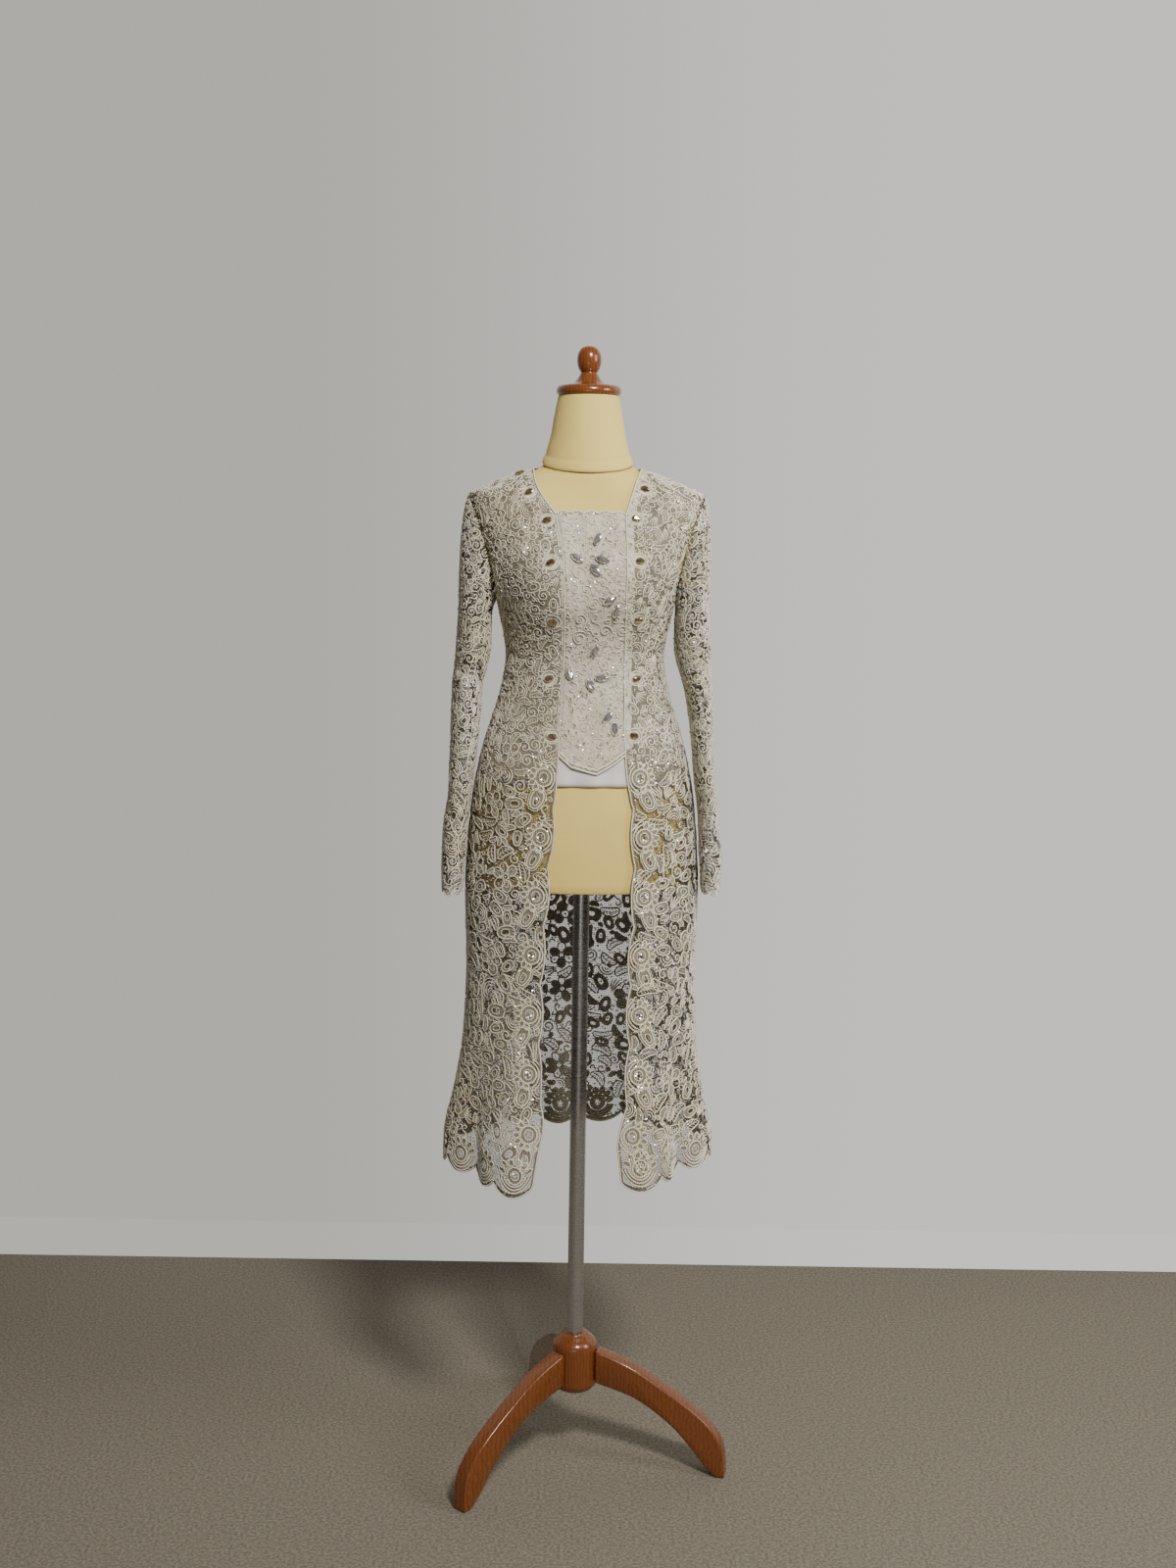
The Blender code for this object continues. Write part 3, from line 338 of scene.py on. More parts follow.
def ridge_height(x):
    """Height of the shoulder ridge at a place across, found by halving."""
    x = np.abs(np.asarray(x, dtype=float))
    low = np.full(x.shape, SHOULDER_TIP)
    high = np.full(x.shape, SECTIONS[-1][0])
    for _ in range(30):
        middle = (low + high) / 2
        wide = HALF_WIDTH(middle) > x
        low = np.where(wide, middle, low)
        high = np.where(wide, high, middle)
    return low


def armhole_height(share):
    """Angle (0 at the shoulder tip, pi at the underarm) and height on the armhole."""
    turn = math.pi * (1.0 - share)
    middle = (SHOULDER_TIP + UNDERARM) / 2
    reach = (SHOULDER_TIP - UNDERARM) / 2
    return turn, middle + reach * math.cos(turn)


def armhole_theta(turn, z, facing):
    """Theta on the armhole: facing is 1 for its front half and -1 for its back half."""
    depth = FRONT_DEPTH(z) if facing > 0 else BACK_DEPTH(z)
    ahead = ARMHOLE_HALF_DEPTH * abs(math.sin(turn))
    theta = math.acos(min(1.0, (ahead / depth) ** (POWER(z) / 2.0)))
    return theta if facing > 0 else math.pi - theta


def scallop(share, count):
    """0 at the notches between scallops and 1 at their lowest points."""
    return np.abs(np.sin(math.pi * count * share)) ** 0.8


def yoke_rise(share):
    """Share of the way from underarm to shoulder seam that an armhole row has climbed."""
    return (1.0 - math.cos(math.pi * share)) / 2


class Cloth:
    """A grid of points of one cloth piece, evenly spaced along each row, bottom row first."""

    def __init__(self, name, rows, columns, closed=False, centre=None):
        self.name = name
        self.closed = closed
        points = np.array([self.even(row, columns, closed) for row in rows]) + POLE
        self.points = self.even_rows(points)
        across = np.gradient(self.points, axis=1)
        if closed:
            across[:, 0] = across[:, -1] = self.points[:, 1] - self.points[:, -2]
        along = np.gradient(self.points, axis=0)
        normal = np.cross(across, along)
        middle = POLE if centre is None else self.points.mean(axis=1, keepdims=True)
        out = (self.points - middle) * (1.0, 1.0, 0.0)
        self.hand = 1.0 if (normal * out).sum() > 0 else -1.0
        normal *= self.hand
        normal /= np.maximum(np.linalg.norm(normal, axis=-1, keepdims=True), 1e-9)
        self.across, self.along, self.normal = across, along, normal
        self.net = self.points - normal * NET_DEPTH
        step = np.linalg.norm(np.diff(self.points, axis=1), axis=-1)
        reach = np.concatenate((np.zeros((len(step), 1)), np.cumsum(step, axis=1)), axis=1)
        self.reach = reach - (reach[:, -1:] / 2 if closed else 0.0)
        self.climb = self.climbed(self.points)

    @staticmethod
    def climbed(points):
        """Mean length up the cloth from its lowest row to each row."""
        climb = np.linalg.norm(np.diff(points, axis=0), axis=-1).mean(axis=1)
        return np.concatenate(((0.0,), np.cumsum(climb)))

    @classmethod
    def even_rows(cls, points):
        """The same grid with its rows evenly spaced up the cloth."""
        climb = cls.climbed(points)
        place = np.linspace(0.0, climb[-1], round(len(points) * 1.1))
        i = np.clip(np.searchsorted(climb, place) - 1, 0, len(climb) - 2)
        share = ((place - climb[i]) / (climb[i + 1] - climb[i]))[:, None, None]
        return points[i] * (1.0 - share) + points[i + 1] * share

    @staticmethod
    def even(row, columns, closed):
        """The row's points moved to even spacing; a closed row keeps its middle point."""
        halves = (row[:len(row) // 2 + 1], row[len(row) // 2:]) if closed else (row,)
        made = []
        for half in halves:
            length = np.concatenate(((0.0,), np.cumsum(np.linalg.norm(np.diff(half, axis=0), axis=1))))
            count = columns // len(halves) + 1
            place = np.linspace(0.0, length[-1], count)
            made.append(np.stack([np.interp(place, length, half[:, k]) for k in range(3)], axis=-1))
        return np.concatenate((made[0], made[1][1:])) if closed else made[0]

    def read(self, grid, i, j):
        """Value of a grid at fractional rows and columns."""
        rows, columns = self.points.shape[:2]
        j = j % (columns - 1) if self.closed else np.clip(j, 0, columns - 1)
        i = np.clip(i, 0, rows - 1)
        i0 = np.minimum(i.astype(int), rows - 2)
        j0 = np.minimum(j.astype(int), columns - 2)
        u, v = (i - i0)[..., None], (j - j0)[..., None]
        low = grid[i0, j0] * (1 - v) + grid[i0, j0 + 1] * v
        high = grid[i0 + 1, j0] * (1 - v) + grid[i0 + 1, j0 + 1] * v
        return low * (1 - u) + high * u

    def outside(self, i, j):
        rows, columns = self.points.shape[:2]
        off = (i < 0) | (i > rows - 1)
        if not self.closed:
            off = off | (j < 0) | (j > columns - 1)
        return off

    def frames(self, i, j):
        """Row and column steps for a metre along the row and a metre up across it."""
        along, across = self.read(self.along, i, j), self.read(self.across, i, j)
        width = np.linalg.norm(across, axis=-1, keepdims=True)
        e1 = across / width
        lean = (along * e1).sum(axis=-1, keepdims=True)
        e2 = along - e1 * lean
        height = np.linalg.norm(e2, axis=-1, keepdims=True)
        return width[..., 0], lean[..., 0], height[..., 0], e1, e2 / height

    def find(self, place):
        """Row and column of the grid's point nearest to a place."""
        gap = np.linalg.norm(self.points - np.asarray(place), axis=-1)
        i, j = np.unravel_index(np.argmin(gap), gap.shape)
        return float(i), float(j)


FRONT_COLUMNS_FINE, BACK_COLUMNS_FINE, SLEEVE_COLUMNS_FINE = 46, 90, 48
ROW_STEP = 0.0058
HEM_STEPS, YOKE_STEPS = 9, 30
SKIRT_TOP = 0.560


def skirt_rows():
    """Heights of the rows from just above the hem's scallops to the underarm."""
    count = round((UNDERARM - SKIRT_TOP) / ROW_STEP)
    return np.linspace(SKIRT_TOP, UNDERARM, count + 1)


def edge_x(side, z):
    """Place across of a front's inner edge, scalloped where it is free."""
    x = EDGE_X[side](z)
    wave = np.abs(np.sin(math.pi * (z - SKIRT_START) / EDGE_SCALLOP_PITCH)) ** 0.8
    free = np.clip((EDGE_SCALLOP_TOP + 0.01 - z) / 0.02, 0.0, 1.0)
    return x - SIGN[side] * EDGE_SCALLOP * (wave - 0.5) * free


def front_cloth(side):
    """A front's grid: column 0 on its inner edge, the last on the side seam and armhole."""
    sign = SIGN[side]
    share = np.linspace(0.0, 1.0, 4 * FRONT_COLUMNS_FINE + 1)
    rows = []

    def lower(z):
        start = front_angle(edge_x(side, z), z)
        return start + (sign * SIDE_ANGLE - start) * share

    theta = lower(np.float64(SKIRT_START))
    lowest = HEM_HEIGHT(np.degrees(theta)) + SCALLOP_DROP * (1.0 - scallop(share, FRONT_SCALLOPS))
    for step in range(HEM_STEPS):
        z = lowest + (SKIRT_TOP - lowest) * step / HEM_STEPS
        mix = step / HEM_STEPS
        rows.append(worn(theta * (1 - mix) + lower(np.float64(SKIRT_TOP)) * mix, z))
    for z in skirt_rows():
        rows.append(worn(lower(z), np.full(share.shape, z)))

    neck_z, tip_z = float(ridge_height(NECK_POINT_X)), SHOULDER_TIP
    base_x = cloth(lower(UNDERARM), UNDERARM)[:, 0]
    base_share = (base_x - base_x[0]) / (base_x[-1] - base_x[0])
    corner_rise = yoke_rise(0.6)
    for step in range(1, YOKE_STEPS + 1):
        rise = yoke_rise(step / YOKE_STEPS)
        turn, outer_z = armhole_height(step / YOKE_STEPS)
        inner_z = float(np.interp(rise, (0.0, corner_rise, 1.0), (UNDERARM, NECK_CORNER, neck_z)))
        edge = EDGE_X if inner_z <= NECK_CORNER + 1e-6 else NECKLINE_X
        inner_x = float(edge[side](inner_z))
        outer_theta = sign * armhole_theta(turn, outer_z, 1)
        outer_x = float(cloth(outer_theta, outer_z)[0])
        across = base_share + (share - base_share) * rise
        x = inner_x + (outer_x - inner_x) * across
        z = inner_z + (outer_z - inner_z) * across
        seam_line = tip_z + (neck_z - tip_z) * (1.0 - across)
        z = z + (ridge_height(np.maximum(np.abs(x), NECK_POINT_X)) - seam_line) * rise ** 4
        theta = front_angle(x, z)
        theta[-1], z[-1] = outer_theta, outer_z
        if step == YOKE_STEPS:
            theta = np.full(share.shape, sign * SIDE_ANGLE)
        rows.append(worn(theta, z))
    return Cloth("front_" + side, rows, FRONT_COLUMNS_FINE)


def back_cloth():
    """The back's grid, from the left side seam to the right one."""
    shoulder = BACK_COLUMNS_FINE * 4 * 8 // 30
    count = BACK_COLUMNS_FINE * 4
    share = np.linspace(0.0, 1.0, count + 1)
    theta = SIDE_ANGLE + math.pi * share
    around = (np.degrees(theta) + 180.0) % 360.0 - 180.0
    lowest = HEM_HEIGHT(around) + SCALLOP_DROP * (1.0 - scallop(share, BACK_SCALLOPS))
    rows = []
    for step in range(HEM_STEPS):
        rows.append(worn(theta, lowest + (SKIRT_TOP - lowest) * step / HEM_STEPS))
    for z in skirt_rows():
        rows.append(worn(theta, np.full(share.shape, z)))

    base_x = cloth(theta, UNDERARM)[:, 0]
    base_share = base_x / base_x[0]
    neck_share = NECK_POINT_X / float(HALF_WIDTH(SHOULDER_TIP))
    slope = np.linspace(1.0, neck_share, shoulder + 1)
    neck_turn = np.linspace(0.0, math.pi, count - 2 * shoulder + 1)
    top_share = np.concatenate((slope[:-1], neck_share * np.cos(neck_turn), -slope[-2::-1]))
    top_x = top_share * float(HALF_WIDTH(SHOULDER_TIP))
    neck = np.clip(np.abs(top_x) / NECK_POINT_X, 0.0, 1.0)
    top_z = ridge_height(np.maximum(np.abs(top_x), NECK_POINT_X)) - BACK_NECK_DIP * (1.0 - neck ** 2)
    for step in range(1, YOKE_STEPS + 1):
        rise = yoke_rise(step / YOKE_STEPS)
        turn, outer_z = armhole_height(step / YOKE_STEPS)
        outer_theta = armhole_theta(turn, outer_z, -1)
        outer_x = float(cloth(outer_theta, outer_z)[0])
        x = outer_x * (base_share + (top_share - base_share) * rise)
        z = UNDERARM + (top_z - UNDERARM) * rise
        theta = math.pi - front_angle(x, z)
        theta[0], theta[-1] = outer_theta, 2 * math.pi - outer_theta
        z[0] = z[-1] = outer_z
        if step == YOKE_STEPS:
            on_seam = np.abs(top_x) >= NECK_POINT_X - 1e-6
            theta = np.where(on_seam, np.where(x > 0, SIDE_ANGLE, 3 * SIDE_ANGLE), theta)
        rows.append(worn(theta, z))
    return Cloth("back", rows, BACK_COLUMNS_FINE)


def panel_cloth():
    """The centre panel's grid: V hem first, right seam first, top edge in small scallops."""
    share = np.linspace(0.0, 1.0, 61)
    rows = []
    for step in np.linspace(0.0, 1.0, 62):
        x = EDGE_X["right"](1.134) + (EDGE_X["left"](1.134) - EDGE_X["right"](1.134)) * share
        low = panel_hem_height(x)
        lobe = np.abs(np.sin(math.pi * PANEL_TOP_LOBES * share)) ** 0.7
        high = NECK_CORNER + PANEL_TOP_SCALLOP * lobe
        z = low + (high - low) * step
        right, left = EDGE_X["right"](z), EDGE_X["left"](z)
        x = right + (left - right) * share
        rows.append(worn(front_angle(x, z), z))
    return Cloth("centre_panel", rows, 18)


def sleeve_cloth(side, table):
    """A sleeve's grid, cuff first; its middle column runs down the outside of the arm."""
    sign = SIGN[side]
    turns = np.linspace(math.pi, 3 * math.pi, 161)
    folded = np.where(turns > 2 * math.pi, turns - 2 * math.pi, turns)
    folded = np.where(folded > math.pi, 2 * math.pi - folded, folded)
    thetas, zs = [], []
    for turn, fold in zip(turns, folded):
        facing = 1 if turn >= 2 * math.pi else -1
        z = armhole_height(1.0 - fold / math.pi)[1]
        thetas.append(sign * armhole_theta(fold, z, facing))
        zs.append(z)
    seam = cloth(np.array(thetas), np.array(zs))
    body_normal = cloth_normal(np.array(thetas), np.array(zs))
    cosine, sine = np.cos(turns), np.sin(turns)
    curves = [curve_through(table[::-1], SLEEVE_COLUMNS, name) for name in SLEEVE_COLUMNS[1:]]

    def ring(z):
        centre_x, half_width, centre_y, half_depth = (read(z) for read in curves)
        x = sign * (centre_x + half_width * cosine)
        return np.stack((x, centre_y - half_depth * sine, np.broadcast_to(z, x.shape)), axis=-1)

    top_z, cuff_z = table[0][0], table[-1][0]
    wave = scallop(np.clip((turns - math.pi) / (2 * math.pi), 0, 1), CUFF_SCALLOPS)
    rows = []
    for z in np.linspace(cuff_z, top_z, 80):
        row = ring(z)
        fade = np.clip(1.0 - (z - cuff_z) / 0.02, 0.0, 1.0)
        row[:, 2] += CUFF_SCALLOP_DROP * (0.5 - wave) * fade
        rows.append(row)
    top = ring(top_z)
    for weight in np.linspace(0.94, 0.0, 34):
        bulge = math.sin(math.pi * weight ** 0.6)
        cap = seam * (1.0 - weight) + top * weight
        cap[:, 0] += sign * CAP_PUFF * bulge * (1.0 + cosine) / 2
        cap += body_normal * (0.0012 * bulge)
        rows.append(cap)
    rows = np.array(rows)
    centre = rows.mean(axis=1, keepdims=True)
    out = (rows - centre) * (1.0, 1.0, 0.0)
    out /= np.maximum(np.linalg.norm(out, axis=-1, keepdims=True), 1e-6)
    angle = np.broadcast_to(np.degrees(turns) % 360.0, rows.shape[:2])
    push = crease_push((angle, rows[..., 2], 0.036), SLEEVE_CREASES)
    push[-8:] *= np.linspace(1.0, 0.0, 8)[:, None]
    return Cloth("sleeve_" + side, rows + out * push[..., None], SLEEVE_COLUMNS_FINE,
                 closed=True, centre=True)


def make_mesh(name, verts, faces, uvs=None, materials=(), slots=None, smooth=True):
    """Mesh object from point and face arrays; faces is a list of arrays of equal-sided faces."""
    mesh = bpy.data.meshes.new(name)
    mesh.vertices.add(len(verts))
    mesh.vertices.foreach_set("co", np.asarray(verts, dtype=np.float32).ravel())
    sizes = np.concatenate([np.full(len(part), part.shape[1]) for part in faces])
    corners = np.concatenate([part.ravel() for part in faces]).astype(np.int32)
    mesh.loops.add(len(corners))
    mesh.loops.foreach_set("vertex_index", corners)
    starts = np.concatenate(((0,), np.cumsum(sizes)[:-1])).astype(np.int32)
    mesh.polygons.add(len(sizes))
    mesh.polygons.foreach_set("loop_start", starts)
    if slots is not None:
        mesh.polygons.foreach_set("material_index", np.concatenate(slots).astype(np.int32))
    mesh.polygons.foreach_set("use_smooth", np.full(len(sizes), smooth))
    if uvs is not None:
        layer = mesh.uv_layers.new(name="UVMap")
        layer.data.foreach_set("uv", np.asarray(uvs, dtype=np.float32)[corners].ravel())
    for material in materials:
        mesh.materials.append(material)
    mesh.update(calc_edges=True)
    mesh.validate()
    piece = bpy.data.objects.new(name, mesh)
    bpy.context.collection.objects.link(piece)
    return piece


def grid_faces(rows, columns, hand=1.0):
    """Four-sided faces of a grid, facing outward."""
    i, j = np.meshgrid(np.arange(rows - 1), np.arange(columns - 1), indexing="ij")
    a = (i * columns + j).ravel()
    quads = np.stack((a, a + 1, a + columns + 1, a + columns), axis=1)
    return quads if hand > 0 else quads[:, ::-1]


def new_material(name, colour, roughness, metallic=0.0):
    material = bpy.data.materials.new(name)
    material.use_nodes = True
    shader = material.node_tree.nodes["Principled BSDF"]
    shader.inputs["Base Color"].default_value = (*colour, 1.0)
    shader.inputs["Roughness"].default_value = roughness
    shader.inputs["Metallic"].default_value = metallic
    return material, material.node_tree, shader


def add_node(tree, kind, inputs=None, **settings):
    """New node with its settings; inputs is a dict of socket name or number to value or link."""
    made = tree.nodes.new(kind)
    for key, value in settings.items():
        setattr(made, key, value)
    for key, value in (inputs or {}).items():
        if isinstance(value, bpy.types.NodeSocket):
            tree.links.new(value, made.inputs[key])
        else:
            made.inputs[key].default_value = value
    return made


def noise(tree, place, scale, detail=2.0):
    return add_node(tree, "ShaderNodeTexNoise", {"Vector": place, "Scale": scale, "Detail": detail})


def mix_colour(tree, factor, first, second):
    made = tree.nodes.new("ShaderNodeMix")
    made.data_type = "RGBA"
    for index, value in ((0, factor), (6, first), (7, second)):
        if isinstance(value, bpy.types.NodeSocket):
            tree.links.new(value, made.inputs[index])
        else:
            made.inputs[index].default_value = value
    return made.outputs[2]


def ramp(tree, value, low, high, first=0.0, second=1.0):
    """Smooth change from first to second as value goes from low to high."""
    made = add_node(tree, "ShaderNodeMapRange", {
        "Value": value, "From Min": low, "From Max": high, "To Min": first, "To Max": second},
        interpolation_type="SMOOTHSTEP")
    return made.outputs["Result"]


def bump(tree, shader, height, distance, strength=1.0):
    made = add_node(tree, "ShaderNodeBump", {"Height": height, "Distance": distance,
                                             "Strength": strength})
    tree.links.new(made.outputs["Normal"], shader.inputs["Normal"])


CREAM = (0.93, 0.865, 0.715)
CREAM_WARM = (0.87, 0.77, 0.565)
CREAM_SHADE = (0.40, 0.345, 0.245)
GROUND_SHADE = (0.105, 0.088, 0.058)
# Net thread colours, painted darker than the threads' cream as if in shade; darkest where the net is open.
THREAD = (0.40, 0.35, 0.26)
OPEN_THREAD_SHADE = (0.150, 0.130, 0.092)
# Plain ground: light cream in random tones, with spots of painted shade between the curls.
PLAIN_LOW, PLAIN_HIGH, PLAIN_GAP_SHADE = (0.72, 0.66, 0.53), (0.90, 0.84, 0.70), (0.26, 0.225, 0.165)


def net_material():
    """Fine net of the lace: threads round small holes, closed where the cloth is lined. The closed ground
    is painted shade of the grooves between the cords, and its threads are painted darker than their cream,
    as if in shade.
    """
    material, tree, shader = new_material("lace_net", CREAM, 0.8)
    place = add_node(tree, "ShaderNodeUVMap", uv_map="UVMap").outputs["UV"]
    cells = add_node(tree, "ShaderNodeTexVoronoi", {
        "Vector": place, "Scale": 1.0 / NET_HOLE, "Randomness": 0.30},
        voronoi_dimensions="2D", feature="DISTANCE_TO_EDGE")
    thread = ramp(tree, cells.outputs["Distance"], 0.05, 0.11, 1.0, 0.0)
    cover = add_node(tree, "ShaderNodeAttribute", attribute_name="cover").outputs["Fac"]
    closed = ramp(tree, cover, 0.45, 0.60)
    alpha = add_node(tree, "ShaderNodeMath", {0: thread, 1: closed}, operation="MAXIMUM")
    tree.links.new(alpha.outputs[0], shader.inputs["Alpha"])
    patches = noise(tree, place, 42.0).outputs["Fac"]
    # Lined ground: painted shade of the grooves between the cords, in random patches, with its threads
    # painted darker than cream as if in shade.
    under = mix_colour(tree, ramp(tree, patches, 0.35, 0.65), (*GROUND_SHADE, 1.0), (0.22, 0.19, 0.13, 1.0))
    lined = mix_colour(tree, thread, under, (*THREAD, 1.0))
    plain = mix_colour(tree, ramp(tree, patches, 0.3, 0.7), (*PLAIN_LOW, 1.0), (*PLAIN_HIGH, 1.0))
    # Spots of painted shade between the curls on the plain ground.
    gap_shade = noise(tree, place, 170.0, 3.0).outputs["Fac"]
    plain = mix_colour(tree, ramp(tree, gap_shade, 0.53, 0.68, 0.0, 0.8), plain, (*PLAIN_GAP_SHADE, 1.0))
    # Open net: its threads painted dark as if in shade.
    lined = mix_colour(tree, closed, (*OPEN_THREAD_SHADE, 1.0), lined)
    colour = mix_colour(tree, ramp(tree, cover, 1.0, 2.0), lined, plain)
    tree.links.new(colour, shader.inputs["Base Color"])
    weave = noise(tree, place, 420.0, 3.0).outputs["Fac"]
    height = add_node(tree, "ShaderNodeMath", {0: thread, 1: weave}, operation="ADD")
    bump(tree, shader, height.outputs[0], 0.0006)
    return material


def cord_material(name, foot_shade_depth):
    """Soutache-like cord: cream rayon with the twist of its threads, with painted shade in the twist's
    grooves and at its feet.
    """
    material, tree, shader = new_material(name, CREAM, 0.62)
    shader.inputs["Sheen Weight"].default_value = 0.15
    place = add_node(tree, "ShaderNodeUVMap", uv_map="UVMap").outputs["UV"]
    twist = add_node(tree, "ShaderNodeTexWave", {
        "Vector": place, "Scale": 260.0, "Distortion": 0.6, "Detail": 1.0},
        wave_type="BANDS", bands_direction="DIAGONAL")
    where = add_node(tree, "ShaderNodeTexCoord").outputs["Object"]
    broad = noise(tree, where, 9.0).outputs["Fac"]
    tone = mix_colour(tree, ramp(tree, broad, 0.38, 0.66), (*CREAM, 1.0), (*CREAM_WARM, 1.0))
    # Painted shade in the grooves of the twist.
    dark = mix_colour(tree, ramp(tree, twist.outputs["Fac"], 0.0, 0.4, 0.22, 0.0), tone,
                      (*CREAM_SHADE, 1.0))
    across = add_node(tree, "ShaderNodeSeparateXYZ", {"Vector": place}).outputs["Y"]
    away = add_node(tree, "ShaderNodeMath", {0: across, 1: CORD_WIDTH / 2}, operation="SUBTRACT")
    away = add_node(tree, "ShaderNodeMath", {0: away.outputs[0]}, operation="ABSOLUTE")
    # Painted shade at the cord's feet, where it meets the net.
    foot = ramp(tree, away.outputs[0], CORD_WIDTH * 0.18, CORD_WIDTH * 0.42, 0.0, foot_shade_depth)
    dark = mix_colour(tree, foot, dark, (*GROUND_SHADE, 1.0))
    tree.links.new(dark, shader.inputs["Base Color"])
    bump(tree, shader, twist.outputs["Fac"], 0.00025)
    return material


def fill_material(name, light, dark):
    """Stitched fillings of petals and leaves: short close stitches along each petal, with painted shade,
    the dark colour, in the grooves between the stitches.
    """
    material, tree, shader = new_material(name, CREAM, 0.7)
    shader.inputs["Sheen Weight"].default_value = 0.15
    place = add_node(tree, "ShaderNodeUVMap", uv_map="UVMap").outputs["UV"]
    stitch = add_node(tree, "ShaderNodeTexWave", {
        "Vector": place, "Scale": 150.0, "Distortion": 1.6, "Detail": 2.0},
        wave_type="BANDS", bands_direction="X")
    grain = noise(tree, place, 700.0).outputs["Fac"]
    # Painted shade in the grooves between the stitches.
    stitch_shade = mix_colour(tree, ramp(tree, stitch.outputs["Fac"], 0.25, 0.90, 0.92, 0.0),
                       (*light, 1.0), (*dark, 1.0))
    tone = mix_colour(tree, ramp(tree, grain, 0.50, 0.80, 0.0, 0.35), stitch_shade, (*CREAM, 1.0))
    tree.links.new(tone, shader.inputs["Base Color"])
    bump(tree, shader, stitch.outputs["Fac"], 0.0004)
    return material


def bead_material():
    material, tree, shader = new_material("glass_bead", (0.86, 0.84, 0.78), 0.12)
    shader.inputs["Coat Weight"].default_value = 0.6
    shader.inputs["Specular IOR Level"].default_value = 0.9
    where = add_node(tree, "ShaderNodeTexCoord").outputs["Object"]
    tint = noise(tree, where, 60.0).outputs["Fac"]
    tree.links.new(mix_colour(tree, ramp(tree, tint, 0.4, 0.62), (0.88, 0.86, 0.80, 1.0),
                              (0.70, 0.60, 0.42, 1.0)), shader.inputs["Base Color"])
    return material


def sequin_material():
    material, tree, shader = new_material("sequin", (0.90, 0.88, 0.84), 0.23, 0.75)
    where = add_node(tree, "ShaderNodeTexCoord").outputs["Object"]
    tint = noise(tree, where, 85.0).outputs["Fac"]
    tree.links.new(mix_colour(tree, ramp(tree, tint, 0.42, 0.60), (0.94, 0.92, 0.87, 1.0),
                              (0.62, 0.52, 0.36, 1.0)), shader.inputs["Base Color"])
    return material


def stone_material(name, colour, dark, roughness):
    """Foil-backed cut stone: facets pick up light and dark; the foil shows through unevenly."""
    material, tree, shader = new_material(name, colour, roughness, 0.9)
    shader.inputs["Coat Weight"].default_value = 1.0
    shader.inputs["Coat Roughness"].default_value = 0.03
    where = add_node(tree, "ShaderNodeTexCoord").outputs["Object"]
    tint = noise(tree, where, 240.0, 3.0).outputs["Fac"]
    tree.links.new(mix_colour(tree, ramp(tree, tint, 0.40, 0.60), (*colour, 1.0), (*dark, 1.0)),
                   shader.inputs["Base Color"])
    return material


def jersey_material():
    """Stretched cotton jersey with its fine ribs and a little fuzz."""
    material, tree, shader = new_material("jersey", (0.74, 0.60, 0.31), 0.92)
    shader.inputs["Sheen Weight"].default_value = 0.08
    shader.inputs["Sheen Roughness"].default_value = 0.6
    where = add_node(tree, "ShaderNodeTexCoord").outputs["Object"]
    ribs = add_node(tree, "ShaderNodeTexWave", {
        "Vector": where, "Scale": 240.0, "Distortion": 1.5, "Detail": 2.0},
        wave_type="BANDS", bands_direction="X")
    broad = noise(tree, where, 7.0).outputs["Fac"]
    fuzz = noise(tree, where, 800.0).outputs["Fac"]
    tone = mix_colour(tree, ramp(tree, broad, 0.35, 0.68), (0.83, 0.635, 0.175, 1.0),
                      (0.75, 0.565, 0.145, 1.0))
    tone = mix_colour(tree, ramp(tree, fuzz, 0.3, 0.7, 0.0, 0.18), tone, (0.89, 0.74, 0.30, 1.0))
    tree.links.new(tone, shader.inputs["Base Color"])
    height = add_node(tree, "ShaderNodeMath", {0: ribs.outputs["Fac"], 1: fuzz}, operation="ADD")
    bump(tree, shader, height.outputs[0], 0.00018, 0.7)
    return material


def satin_material():
    """Pale lining satin: threads run round the body, with a soft lustre."""
    material, tree, shader = new_material("satin", (0.74, 0.70, 0.72), 0.36)
    shader.inputs["Sheen Weight"].default_value = 0.2
    shader.inputs["Anisotropic"].default_value = 0.4
    place = add_node(tree, "ShaderNodeUVMap", uv_map="UVMap").outputs["UV"]
    weave = add_node(tree, "ShaderNodeTexWave", {
        "Vector": place, "Scale": 420.0, "Distortion": 0.8, "Detail": 1.0},
        wave_type="BANDS", bands_direction="Y")
    broad = noise(tree, place, 22.0).outputs["Fac"]
    tone = mix_colour(tree, ramp(tree, broad, 0.35, 0.65), (0.70, 0.66, 0.64, 1.0),
                      (0.57, 0.53, 0.52, 1.0))
    tree.links.new(tone, shader.inputs["Base Color"])
    bump(tree, shader, weave.outputs["Fac"], 0.0001, 0.6)
    return material


